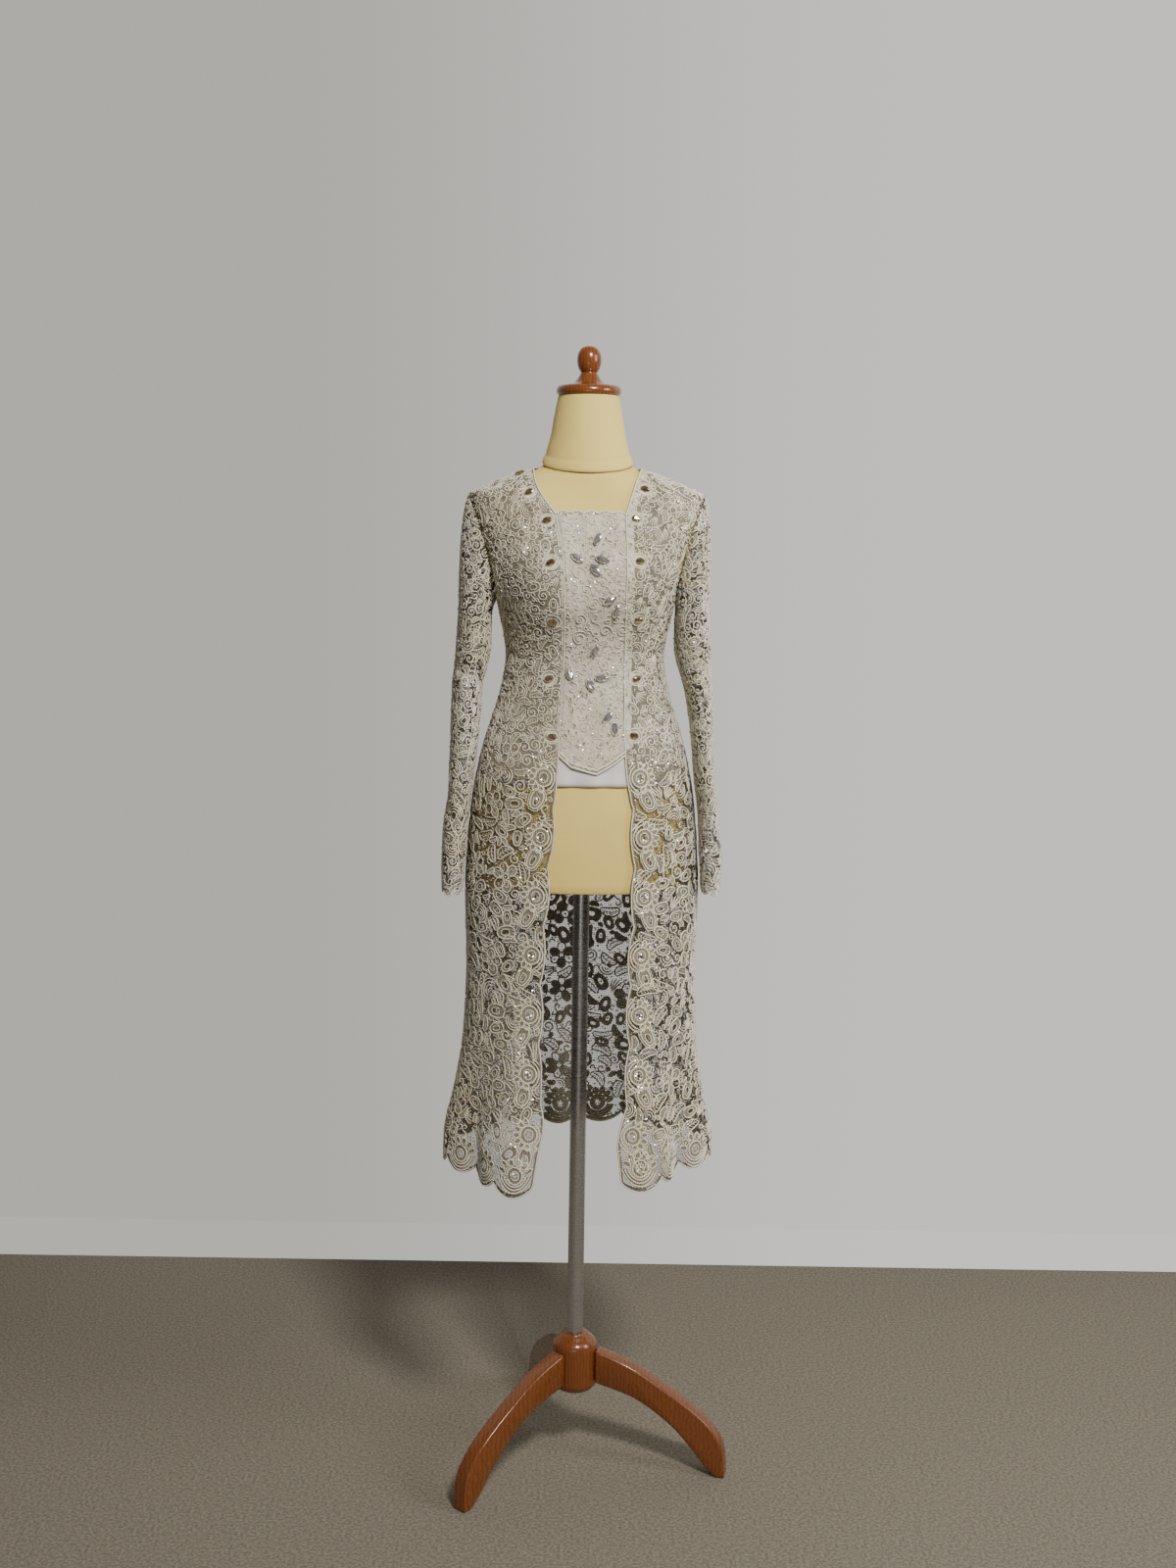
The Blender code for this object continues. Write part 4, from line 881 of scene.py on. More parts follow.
def wood_material(name, grain_scale):
    """Turned or sawn wood under glossy red-brown varnish; grain_scale stretches the figure."""
    material, tree, shader = new_material(name, (0.27, 0.070, 0.014), 0.20)
    shader.inputs["Coat Weight"].default_value = 0.38
    shader.inputs["Coat Roughness"].default_value = 0.10
    where = add_node(tree, "ShaderNodeTexCoord").outputs["Object"]
    stretched = add_node(tree, "ShaderNodeVectorMath", {0: where, 1: grain_scale},
                         operation="MULTIPLY").outputs["Vector"]
    figure = add_node(tree, "ShaderNodeTexWave", {
        "Vector": stretched, "Scale": 22.0, "Distortion": 6.0, "Detail": 3.0, "Detail Scale": 1.6},
        wave_type="BANDS", bands_direction="X")
    pores = noise(tree, stretched, 130.0, 4.0).outputs["Fac"]
    tone = mix_colour(tree, ramp(tree, figure.outputs["Fac"], 0.1, 0.9), (0.205, 0.060, 0.012, 1.0),
                      (0.150, 0.041, 0.008, 1.0))
    tone = mix_colour(tree, ramp(tree, pores, 0.58, 0.74, 0.0, 0.45), tone, (0.13, 0.032, 0.008, 1.0))
    tree.links.new(tone, shader.inputs["Base Color"])
    tree.links.new(ramp(tree, pores, 0.4, 0.75, 0.20, 0.34), shader.inputs["Roughness"])
    bump(tree, shader, pores, 0.00015, 0.5)
    return material


def steel_material():
    material, tree, shader = new_material("steel", (0.56, 0.56, 0.57), 0.28, 1.0)
    where = add_node(tree, "ShaderNodeTexCoord").outputs["Object"]
    brushed = add_node(tree, "ShaderNodeVectorMath", {0: where, 1: (40.0, 40.0, 900.0)},
                       operation="MULTIPLY").outputs["Vector"]
    lines = noise(tree, brushed, 1.0, 3.0).outputs["Fac"]
    tree.links.new(ramp(tree, lines, 0.3, 0.7, 0.22, 0.38), shader.inputs["Roughness"])
    bump(tree, shader, lines, 0.00006, 0.4)
    return material


NET = net_material()
# The front's cords and fillings carry deep painted shade, its fillings painted dark all over as if in
# shade; the back's copies carry lighter painted shade, so that the back's inside looks lit.
CORD = cord_material("lace_cord", 0.95)
FILL = fill_material("lace_fill", (0.34, 0.295, 0.21), (0.085, 0.070, 0.045))
BACK_CORD = cord_material("lace_cord_back", 0.40)
BACK_FILL = fill_material("lace_fill_back", (0.78, 0.70, 0.54), (0.46, 0.405, 0.30))
BEAD, SEQUIN = bead_material(), sequin_material()
BRONZE = stone_material("bronze_stone", (0.58, 0.48, 0.25), (0.24, 0.165, 0.065), 0.14)
CRYSTAL = stone_material("crystal_stone", (0.97, 0.96, 0.94), (0.60, 0.595, 0.57), 0.10)
JERSEY, SATIN, STEEL = jersey_material(), satin_material(), steel_material()
SEAM = new_material("seam_thread", (0.20, 0.13, 0.045), 0.9)[0]
TURNED = wood_material("turned_wood", (3.0, 3.0, 0.9))
SAWN = wood_material("sawn_wood", (2.2, 2.2, 2.2))


def turned(points, angle, shift=(0.0, 0.0)):
    """Points turned about the origin and then moved."""
    points = np.asarray(points, dtype=float)
    c, s = math.cos(angle), math.sin(angle)
    return points @ np.array(((c, s), (-s, c))) + np.array(shift)


def loop(length, width, count=7, blunt=0.8):
    """Closed petal outline from the origin up to (0, length), anticlockwise."""
    t = np.linspace(0.0, 1.0, count)
    y = length * (1.0 - np.cos(math.pi * t)) / 2
    x = width / 2 * np.sin(math.pi * t ** 0.85) ** blunt
    right = np.stack((x, y), axis=1)
    left = np.stack((-x, y), axis=1)[-2:0:-1]
    return np.concatenate((right, left))


def ring_path(radius_x, radius_y, count=14, start=0.0, end=360.0):
    closed = end - start >= 360.0
    angle = np.radians(np.linspace(start, end, count, endpoint=not closed))
    return np.stack((radius_x * np.cos(angle), radius_y * np.sin(angle)), axis=1)


def spiral(radius, turns, count):
    t = np.linspace(0.0, 1.0, count)
    reach = radius * (1.0 - 0.80 * t ** 0.9)
    angle = 2 * math.pi * turns * t
    return np.stack((reach * np.cos(angle), reach * np.sin(angle)), axis=1)


class Motif:
    """A flat lace motif: cords, stitched fillings, beads and sequins round its own centre."""

    def __init__(self, *rooms):
        self.rooms = np.array(rooms, dtype=float)      # discs of ground that it takes: x, y, radius
        self.parts = {kind: {"flat": [], "rise": [], "uv": [], "faces": [], "count": 0}
                      for kind in ("cords", "fills")}
        self.beads, self.sequins = [], []

    def keep(self, kind, flat, rise, uv, faces):
        part = self.parts[kind]
        for key, value in (("flat", flat), ("rise", rise), ("uv", uv), ("faces", faces + part["count"])):
            part[key].append(value)
        part["count"] += len(flat)

    def cord(self, path, width=CORD_WIDTH, rise=CORD_RISE, closed=False):
        """Rounded cord along a path, open underneath where it lies on the net."""
        path = np.asarray(path, dtype=float)
        n = len(path)
        if closed:
            step = np.roll(path, -1, axis=0) - np.roll(path, 1, axis=0)
        else:
            step = np.gradient(path, axis=0)
        step /= np.maximum(np.linalg.norm(step, axis=1, keepdims=True), 1e-9)
        side = np.stack((step[:, 1], -step[:, 0]), axis=1)
        taper = np.ones(n)
        if not closed:
            taper[0] = taper[-1] = 0.5
        half = (width / 2 * taper)[:, None]
        foot = np.full(n, -0.0002)
        flat = np.stack((path - side * half, path, path + side * half), axis=1).reshape(-1, 2)
        lift = np.stack((foot, rise * taper, foot), axis=1).ravel()
        gone = np.concatenate(((0.0,), np.cumsum(np.linalg.norm(np.diff(path, axis=0), axis=1))))
        across = np.tile((0.0, CORD_WIDTH / 2, CORD_WIDTH), n)
        k = np.arange(n if closed else n - 1)
        a, b = 3 * k, 3 * ((k + 1) % n)
        quads = np.concatenate((np.stack((a, a + 1, b + 1, b), axis=1),
                                np.stack((a + 1, a + 2, b + 2, b + 1), axis=1)))
        self.keep("cords", flat, lift, np.stack((np.repeat(gone, 3), across), axis=1), quads)

    def fill(self, outline, angle=0.0, shift=(0.0, 0.0), dome=0.0008):
        """Stitched filling of an outline given upright, then turned and moved."""
        outline = np.asarray(outline)
        points = np.concatenate((outline.mean(axis=0, keepdims=True), outline))
        rise = np.full(len(points), 0.0003)
        rise[0] = dome
        k = np.arange(len(outline))
        tris = np.stack((np.zeros(len(k), int), 1 + k, 1 + (k + 1) % len(k)), axis=1)
        self.keep("fills", turned(points, angle, shift), rise, points, tris)

    def band(self, outer, inner, angle=0.0, shift=(0.0, 0.0), closed=True):
        """Stitched filling between two lines with as many points."""
        points = np.concatenate((outer, inner))
        n = len(outer)
        k = np.arange(n if closed else n - 1)
        after = (k + 1) % n
        tris = np.concatenate((np.stack((k, after, n + after), axis=1),
                               np.stack((k, n + after, n + k), axis=1)))
        self.keep("fills", turned(points, angle, shift), np.full(2 * n, 0.0006), points, tris)

    def petal(self, length, width, angle, shift, count=5, blunt=0.8, filled=True):
        """Corded loop from a point outward, with or without its filling."""
        outline = loop(length, width, count, blunt)
        if filled:
            self.fill(outline * (0.92, 0.96), angle, shift)
        self.cord(turned(outline, angle, shift), closed=True)

    def eye(self, outer, inner, angle=0.0, shift=(0.0, 0.0)):
        """Stitched band between two cords round an open eye of net."""
        self.band(outer, inner, angle, shift)
        self.cord(turned(outer, angle, shift), CORD_WIDTH * 1.12, closed=True)
        self.cord(turned(inner, angle, shift), FINE_WIDTH * 1.30, FINE_RISE, closed=True)


def long_rooms(length, width):
    """Discs of ground under a long motif."""
    return ((0.0, -0.34 * length, 0.34 * width), (0.0, 0.0, 0.46 * width),
            (0.0, 0.34 * length, 0.34 * width))


def flower(radius, petals, rng):
    """Open flower: looped petals, each with an inner loop or a vein, round a beaded eye."""
    made = Motif((0.0, 0.0, radius * 0.90))
    length, width = radius * 0.74, 2 * math.pi * radius * 0.60 / petals
    start = rng.uniform(0, 2 * math.pi)
    for k in range(petals):
        angle = start + 2 * math.pi * k / petals + rng.uniform(-0.08, 0.08)
        size = rng.uniform(0.90, 1.08)
        base = turned(((0.0, radius * 0.24),), angle)[0]
        made.petal(length * size, width * size, angle, base, 6, filled=k % 2 == 0)
        if k % 2:
            vein = np.array(((0.0, 0.15), (0.02, 0.70))) * (width, length)
            made.cord(turned(vein, angle, base), FINE_WIDTH, FINE_RISE)
        else:
            inner = loop(length * 0.56, width * 0.46, 4) + (0.0, length * 0.10)
            made.cord(turned(inner, angle, base), FINE_WIDTH, FINE_RISE, closed=True)
        if rng.random() < 0.45:
            made.sequins.append((*turned(((0.0, radius * 0.24 + length * 0.55),), angle)[0], 0.0019))
    made.cord(ring_path(radius * 0.19, radius * 0.19, 8), closed=True)
    made.beads.append((0.0, 0.0, 0.0016))
    return made


def plume(length, width, bend, veins):
    """Feathery leaf: a corded outline and short slanting cords on both sides of its rib."""
    made = Motif(*long_rooms(length, width * 1.04))
    outline = loop(length, width, 7, 0.85)
    outline[:, 0] += bend * np.sin(math.pi * outline[:, 1] / length)
    outline[:, 1] -= length / 2
    made.cord(outline, closed=True)

    def rib(share):
        return np.array((bend * math.sin(math.pi * share), length * (share - 0.5)))

    made.cord([rib(share) for share in (0.06, 0.35, 0.62, 0.90)], FINE_WIDTH, FINE_RISE)
    for k in range(veins):
        share = 0.14 + 0.62 * k / (veins - 1)
        for side in (-1.0, 1.0):
            reach = width * 0.40 * math.sin(math.pi * min(0.95, share + 0.10)) ** 0.8
            made.cord((rib(share), rib(share) + (side * reach, length * 0.13)),
                      CORD_WIDTH * 0.85, FINE_RISE)
    return made


def leaf(length, width, bend, beaded):
    """Bent leaf with a cord round it and a beaded or corded midrib."""
    made = Motif(*long_rooms(length, width * 1.02))
    outline = loop(length, width, 6, 0.9)
    outline[:, 0] += bend * np.sin(math.pi * outline[:, 1] / length)
    outline[:, 1] -= length / 2
    made.fill(outline * (0.90, 0.95))
    made.cord(outline, closed=True)
    y = np.linspace(-0.36, 0.34, 4) * length
    x = bend * np.sin(math.pi * (y / length + 0.5))
    if beaded:
        made.beads.extend((bx, by, 0.0011) for bx, by in zip(x, y))
    else:
        made.cord(np.stack((x, y), axis=1), FINE_WIDTH, FINE_RISE)
        made.sequins.append((float(x[2]), float(y[2]), 0.0018))
    return made


def eyelet(length, width, rng, open_share=0.50):
    """Drop-shaped eyelet with double cords."""
    made = Motif(*long_rooms(length, width * 1.02))
    outer = loop(length, width, 7, 0.75)
    outer[:, 1] -= length / 2
    made.eye(outer, outer * (open_share, open_share * 0.95) + (0.0, length * 0.03))
    if rng.random() < 0.4:
        made.sequins.append((0.0, 0.0, 0.0019))
    return made


def scroll(radius, turns, thick=1.05):
    """Curled tendril with a short tail, ending in a bead."""
    made = Motif((0.0, 0.0, radius * 0.92))
    made.cord(spiral(radius, turns, max(11, int(turns * 12))), CORD_WIDTH * thick, CORD_RISE * thick)
    tail = ((radius, 0.0), (radius * 0.99, -radius * 0.50), (radius * 0.66, -radius * 1.02))
    made.cord(tail)
    made.beads.append((0.0, 0.0, 0.0013))
    return made


def ripple(radius, arcs):
    """Nested arcs like a scallop shell."""
    base = -0.42 * radius
    made = Motif((0.0, base + radius * 0.55, radius * 0.52),
                 (-radius * 0.52, base + radius * 0.30, radius * 0.38),
                 (radius * 0.52, base + radius * 0.30, radius * 0.38))
    for k in range(arcs):
        reach = radius * (k + 0.85) / (arcs - 0.15)
        path = ring_path(reach, reach * 0.96, max(4, round(reach * math.pi / 0.0042) + 1), 6.0, 174.0)
        made.cord(path + (0.0, base))
    return made


def tuft(length, strands, bend):
    """Strands of cord that spread from one end like a feather."""
    made = Motif(*long_rooms(length, 0.0042 * strands))
    t = np.linspace(0.0, 1.0, 5)
    for k in range(strands):
        share = k / (strands - 1) - 0.5
        reach = length * (1.0 - 0.9 * share ** 2)
        x = share * 0.0040 * strands * (0.35 + 0.75 * t ** 1.2) + bend * t ** 2
        made.cord(np.stack((x, reach * (t - 0.5)), axis=1), CORD_WIDTH * 0.95)
    made.beads.append((0.0, -length * 0.55, 0.0014))
    return made


def wave(length):
    """S-shaped tendril with a curl at each end."""
    made = Motif((0.0, 0.0, length * 0.14), (length * 0.18, length * 0.10, length * 0.20),
                 (-length * 0.18, -length * 0.10, length * 0.20))
    half = spiral(length * 0.23, 0.85, 11)[::-1]
    half = half - half[-1]
    path = np.concatenate((half, -half[::-1][1:]))
    made.cord(path)
    for end in (path[0], path[-1]):
        made.beads.append((*(end * 0.92), 0.0012))
    return made


def curl(radius, sweep_deg, seed_bead=True):
    """Small open curl that fills the ground between the larger motifs."""
    made = Motif((0.0, 0.0, radius))
    made.cord(ring_path(radius * 0.78, radius * 0.70, 7, 0.0, sweep_deg),
              CORD_WIDTH * 0.95, CORD_RISE * 0.9)
    if seed_bead:
        made.beads.append((0.0, 0.0, 0.0012))
    return made


def bud(radius):
    made = Motif((0.0, 0.0, radius * 0.92))
    made.petal(radius * 2.0, radius * 1.3, 0.0, (0.0, -radius), 4)
    return made


def stitch(length):
    """Short loose end of cord."""
    made = Motif((0.0, 0.0, length * 0.38))
    made.cord(((-length * 0.42, -length * 0.10), (0.0, length * 0.12), (length * 0.42, -length * 0.06)))
    return made


def dot(radius):
    made = Motif((0.0, 0.0, radius))
    made.sequins.append((0.0, 0.0, 0.0016))
    made.beads.append((radius * 1.2, 0.0, 0.0010))
    return made


def border_flower(rng):
    """The border's flower: a ringed eye with petals inward, arcs along the edge and a drop below."""
    made = Motif((0.0, 0.0, 0.0150), (0.0090, 0.0, 0.0130), (0.0050, -0.0300, 0.0118))
    made.eye(ring_path(0.0108, 0.0114, 15), ring_path(0.0056, 0.0064, 15))
    for k in range(7):
        angle = math.radians(-174 + 28 * k)
        made.petal(0.0088 * rng.uniform(0.92, 1.1), 0.0070, angle, turned(((0.0, 0.0115),), angle)[0], 4)
    for reach in (0.0142, 0.0178):
        made.cord(ring_path(reach, reach * 1.22, 13, 108.0, 252.0))
    drop = loop(0.0235, 0.0158, 7, 0.72)
    hole = drop * (0.46, 0.50) + (0.0, 0.0075)
    made.eye(drop, hole, math.pi + 0.20, (0.0030, -0.0172))
    made.cord(turned(loop(0.0285, 0.0212, 8, 0.72) - (0.0, 0.0020), math.pi + 0.20, (0.0030, -0.0172)),
              FINE_WIDTH, FINE_RISE, closed=True)
    for k in range(6):
        turn = 1.047 * k + rng.uniform(-0.2, 0.2)
        made.sequins.append((0.0030 * math.cos(turn), 0.0036 * math.sin(turn), 0.0019))
    for k in range(3):
        made.sequins.append((0.0052 + 0.0008 * k, -0.0300 + 0.0030 * k, 0.0019))
    return made


def stone_setting():
    """A ring of cord round one of the bands' stones, with a few petals away from the edge."""
    made = Motif((0.0, 0.0, 0.0135), (0.0060, 0.0, 0.0125))
    made.cord(ring_path(0.0122, 0.0112, 15), CORD_WIDTH * 1.10, closed=True)
    for k in range(5):
        angle = math.radians(-150 + 30 * k)
        made.petal(0.0082, 0.0070, angle, turned(((0.0, 0.0122),), angle)[0], 4)
    return made


def hem_lobe(rng):
    """One scallop of the hem: a ringed eye, petals above it and stitched arcs below."""
    made = Motif((0.0, 0.0, 0.0190), (0.0, -0.0120, 0.0150),
                 (-0.0130, -0.0030, 0.0110), (0.0130, -0.0030, 0.0110))
    made.eye(ring_path(0.0092, 0.0102, 14), ring_path(0.0046, 0.0054, 14))
    radii = (0.0130, 0.0168, 0.0206)
    for k, reach in enumerate(radii):
        made.cord(ring_path(reach * 1.06, reach, 15, 192.0 + 3 * k, 348.0 - 3 * k), CORD_WIDTH * 1.12)
    for low, high in zip(radii, radii[1:]):
        made.band(ring_path(high * 1.06, high, 12, 196.0, 344.0),
                  ring_path(low * 1.06, low, 12, 196.0, 344.0), closed=False)
    for k in range(6):
        angle = math.radians(-80 + 32 * k)
        made.petal(0.0100 * rng.uniform(0.92, 1.1), 0.0074, angle, turned(((0.0, 0.0112),), angle)[0], 4)
    for k in range(5):
        made.sequins.append((0.0028 * math.cos(1.257 * k), 0.0030 * math.sin(1.257 * k), 0.0018))
    return made


def motif_sets():
    """Variants of each kind of motif, drawn once and used all over."""
    rng = np.random.default_rng(7)
    return {
        "flower": [flower(0.0240, n, rng) for n in (6, 5, 7)],
        "rose": [flower(0.0175, n, rng) for n in (5, 6, 5)],
        "ripple": [ripple(r, n) for r, n in ((0.0150, 4), (0.0125, 3), (0.0170, 4))],
        "plume": [plume(l, w, b, n) for l, w, b, n in (
            (0.030, 0.0140, 0.0040, 5), (0.026, 0.0130, -0.0040, 4), (0.034, 0.0150, -0.0060, 6))],
        "tuft": [tuft(l, n, b) for l, n, b in ((0.021, 4, 0.004), (0.018, 5, -0.003), (0.024, 4, 0.006))],
        "leaf": [leaf(0.026, 0.0105, b, k) for b, k in ((0.004, True), (-0.005, False), (0.002, False))],
        "eyelet": [eyelet(l, w, rng) for l, w in ((0.0260, 0.0165), (0.0235, 0.0145), (0.0280, 0.0180))],
        "scroll": [scroll(r, t) for r, t in ((0.0105, 1.5), (0.0092, 1.2), (0.0120, 1.8))],
        "round": [scroll(r, t, 1.30) for r, t in ((0.0118, 1.30), (0.0128, 1.20))],
        "wave": [wave(l) for l in (0.0300, 0.0260)],
        "sprig": [leaf(0.0150, 0.0074, b, k) for b, k in ((0.002, False), (-0.002, True))],
        "curl": [curl(0.0050, s, k) for s, k in ((285.0, True), (230.0, False), (320.0, False))],
        "bud": [bud(0.0042) for _ in range(2)],
        "stitch": [stitch(0.0068)],
        "dot": [dot(0.0024)],
    }


# How the ground is filled, largest first. Columns: kind, tries for each square metre, closeness
SKIRT_PLAN = (
    ("flower", 110, 1.12), ("eyelet", 1500, 0.96), ("rose", 420, 0.96), ("plume", 2600, 0.94),
    ("ripple", 2600, 0.92), ("scroll", 3000, 0.90), ("tuft", 3000, 0.92), ("leaf", 5000, 0.92),
    ("wave", 5000, 0.92), ("sprig", 8000, 0.95), ("curl", 9000, 0.95), ("bud", 5000, 1.00),
    ("stitch", 3000, 1.00), ("dot", 18000, 0.72),
)
UPPER_PLAN = (
    ("rose", 500, 1.00), ("eyelet", 900, 0.90), ("scroll", 3000, 0.88), ("plume", 3200, 0.86),
    ("ripple", 4600, 0.84), ("tuft", 6000, 0.84), ("wave", 6000, 0.84), ("leaf", 5000, 0.84),
    ("sprig", 12000, 0.84), ("curl", 24000, 0.82), ("bud", 20000, 0.84), ("stitch", 30000, 0.80),
    ("dot", 12000, 0.90),
)


def lace_scale(z):
    """The motifs grow from the bodice down to the skirt."""
    return np.interp(z, (1.02, 1.17), (1.0, UPPER_SCALE))


class Layout:
    """Motifs placed on one cloth piece, packed so that they barely touch."""

    def __init__(self, cloth_piece, seed):
        self.cloth = cloth_piece
        self.rng = np.random.default_rng(seed)
        points = cloth_piece.points
        a, b = points[1:, 1:] - points[:-1, :-1], points[1:, :-1] - points[:-1, 1:]
        area = np.linalg.norm(np.cross(a, b), axis=-1) / 2
        self.area = float(area.sum())
        self.chance = (area / area.sum()).ravel()
        self.columns = points.shape[1] - 1
        self.where, self.radii, self.taken = np.zeros((60000, 3)), np.zeros(60000), 0
        self.placed = []

    def discs(self, motif, place, e1, e2, angle, scale, mirror):
        """Places and radii of the discs of ground that a motif takes up."""
        x, y = motif.rooms[:, 0] * mirror * scale, motif.rooms[:, 1] * scale
        c, s = math.cos(angle), math.sin(angle)
        return (place + (c * x - s * y)[:, None] * e1 + (s * x + c * y)[:, None] * e2,
                motif.rooms[:, 2] * scale)

    def take(self, places, radii):
        count = len(radii)
        self.where[self.taken:self.taken + count] = places
        self.radii[self.taken:self.taken + count] = radii
        self.taken += count

    def put(self, motif, i, j, angle, scale, mirror):
        """Place one motif and take up its ground."""
        self.placed.append((motif, i, j, angle, scale, mirror))
        row, column = np.array([i]), np.array([j])
        _, _, _, e1, e2 = self.cloth.frames(row, column)
        place = self.cloth.read(self.cloth.points, row, column)[0]
        self.take(*self.discs(motif, place, e1[0], e2[0], angle, scale, mirror))

    def block(self, place, radius):
        self.take(np.asarray(place)[None], np.array([radius]))

    def clear(self, places, radii, closeness):
        for place, radius in zip(places, radii):
            gap = self.where[:self.taken] - place
            least = (self.radii[:self.taken] + radius) * closeness
            if (np.einsum("ij,ij->i", gap, gap) < least ** 2).any():
                return False
        return True

    def pack(self, plan, sets, allowed, scale_at):
        """Dart throwing: random places are kept where the motif clears those already there."""
        for kind, tries, closeness in plan:
            count = int(tries * self.area)
            cell = self.rng.choice(len(self.chance), count, p=self.chance)
            i = cell // self.columns + self.rng.random(count)
            j = cell % self.columns + self.rng.random(count)
            places = self.cloth.read(self.cloth.points, i, j)
            _, _, _, e1, e2 = self.cloth.frames(i, j)
            angles = self.rng.uniform(0, 2 * math.pi, count)
            mirrors = np.where(self.rng.random(count) < 0.5, -1.0, 1.0)
            choice = self.rng.integers(0, len(sets[kind]), count)
            reach = self.cloth.read(self.cloth.reach[..., None], i, j)[:, 0]
            scales = scale_at(places[:, 2]) * self.rng.uniform(0.88, 1.12, count)
            for k in np.flatnonzero(allowed(places, reach)):
                motif = sets[kind][choice[k]]
                spots = self.discs(motif, places[k], e1[k], e2[k], angles[k], scales[k], mirrors[k])
                if self.clear(*spots, closeness):
                    self.placed.append((motif, i[k], j[k], angles[k], scales[k], mirrors[k]))
                    self.take(*spots)

    def lift(self, flat, placed):
        """Rows and columns of a motif's flat points on the cloth, for each place."""
        i, j, angle, scale, mirror = (np.array([row[k] for row in placed], dtype=float)[:, None]
                                      for k in range(1, 6))
        width, lean, height, _, _ = self.cloth.frames(i[:, 0], j[:, 0])
        x, y = flat[None, :, 0] * mirror * scale, flat[None, :, 1] * scale
        c, s = np.cos(angle), np.sin(angle)
        x, y = c * x - s * y, s * x + c * y
        up = y / height[:, None]
        return i + up, j + (x - up * lean[:, None]) / width[:, None]

    def grouped(self):
        groups = {}
        for row in self.placed:
            groups.setdefault(id(row[0]), []).append(row)
        return groups.values()

    def relief(self, kind, material):
        """One joined mesh of every motif's cords or fillings."""
        verts, uvs, faces, off, total = [], [], [], [], 0
        for placed in self.grouped():
            part = placed[0][0].parts[kind]
            if part["count"] == 0:
                continue
            flat, rise, uv, made = (np.concatenate(part[key]) for key in ("flat", "rise", "uv", "faces"))
            i, j = self.lift(flat, placed)
            net = self.cloth.read(self.cloth.net, i, j)
            normal = self.cloth.read(self.cloth.normal, i, j)
            scale = np.array([row[4] for row in placed])[:, None, None]
            verts.append((net + normal * rise[None, :, None] * scale).reshape(-1, 3))
            off.append(self.cloth.outside(i, j).ravel())
            uvs.append(np.tile(uv, (len(placed), 1)))
            flip = np.array([row[5] * self.cloth.hand < 0 for row in placed])
            corners = np.broadcast_to(made[None], (len(placed), *made.shape)).copy()
            corners[flip] = corners[flip][:, :, ::-1]
            corners += total + np.arange(len(placed))[:, None, None] * len(flat)
            faces.append(corners.reshape(-1, made.shape[1]))
            total += len(placed) * len(flat)
        piece = joined(f"{self.cloth.name}_{kind}", np.concatenate(verts), np.concatenate(uvs),
                       np.concatenate(off), np.concatenate(faces), material)
        return finished(piece)

    def spots(self, kind):
        """Place, normal, sideways directions and radius of every bead or sequin."""
        found = []
        for placed in self.grouped():
            spots = np.array(placed[0][0].beads if kind == "bead" else placed[0][0].sequins)
            if len(spots) == 0:
                continue
            i, j = self.lift(spots[:, :2], placed)
            inside = ~self.cloth.outside(i, j)
            radius = np.broadcast_to(spots[:, 2], i.shape)
            _, _, _, e1, e2 = self.cloth.frames(i, j)
            net, normal = self.cloth.read(self.cloth.net, i, j), self.cloth.read(self.cloth.normal, i, j)
            found.append([part[inside] for part in (net, normal, e1, e2, radius)])
        return [np.concatenate(parts) for parts in zip(*found)]


def joined(name, verts, uvs, off, faces, material):
    """Joined mesh without the faces that lie off the cloth or have no area."""
    a, b, c, d = (verts[faces[:, k]] for k in (0, 1, 2, -1))
    area = np.linalg.norm(np.cross(b - a, c - a), axis=1) + np.linalg.norm(np.cross(c - a, d - a), axis=1)
    faces = faces[~off[faces].any(axis=1) & (area > 2e-9)]
    used = np.zeros(len(verts), dtype=bool)
    used[faces.ravel()] = True
    renumber = np.cumsum(used) - 1
    return make_mesh(name, verts[used], [renumber[faces]], uvs[used], (material,))


OCTA = np.array(((1, 0, 0), (0, 1, 0), (-1, 0, 0), (0, -1, 0), (0, 0, 1), (0, 0, -1)), dtype=float)
OCTA_FACES = np.array(((0, 1, 4), (1, 2, 4), (2, 3, 4), (3, 0, 4),
                       (1, 0, 5), (2, 1, 5), (3, 2, 5), (0, 3, 5)))


def bead_mesh(name, spots, material, rise=0.0006):
    """Small glass beads sewn on the lace."""
    net, normal, e1, e2, radius = spots
    centre = net + normal * (rise + radius * 0.8)[:, None]
    frame_axes = np.stack((e1, e2, normal), axis=1) * radius[:, None, None]
    verts = centre[:, None] + np.einsum("ka,nab->nkb", OCTA, frame_axes)
    base = np.arange(len(centre))[:, None, None] * len(OCTA)
    return make_mesh(name, verts.reshape(-1, 3), [(OCTA_FACES[None] + base).reshape(-1, 3)],
                     materials=(material,))


def sequin_mesh(name, spots, material, seed, rise=0.0013):
    """Six-sided cups of sequins, each lying at its own slight tilt."""
    rng = np.random.default_rng(seed)
    net, normal, e1, e2, radius = spots
    count = len(net)
    angle = np.arange(6) * math.pi / 3
    tilt = rng.uniform(-0.50, 0.50, (count, 2))
    rim = np.stack((np.cos(angle), np.sin(angle)), axis=1)
    offset = radius[:, None, None] * (rim[None, :, :1] * e1[:, None] + rim[None, :, 1:] * e2[:, None])
    lift = rise + radius[:, None] * (tilt[:, :1] * rim[None, :, 0] + tilt[:, 1:] * rim[None, :, 1])
    ring = net[:, None] + offset + normal[:, None] * lift[..., None]
    eye = net + normal * (rise - 0.0003)
    verts = np.concatenate((ring, eye[:, None]), axis=1)
    k = np.arange(6)
    tris = np.stack((k, (k + 1) % 6, np.full(6, 6)), axis=1)
    base = np.arange(count)[:, None, None] * 7
    return make_mesh(name, verts.reshape(-1, 3), [(tris[None] + base).reshape(-1, 3)],
                     materials=(material,), smooth=False)


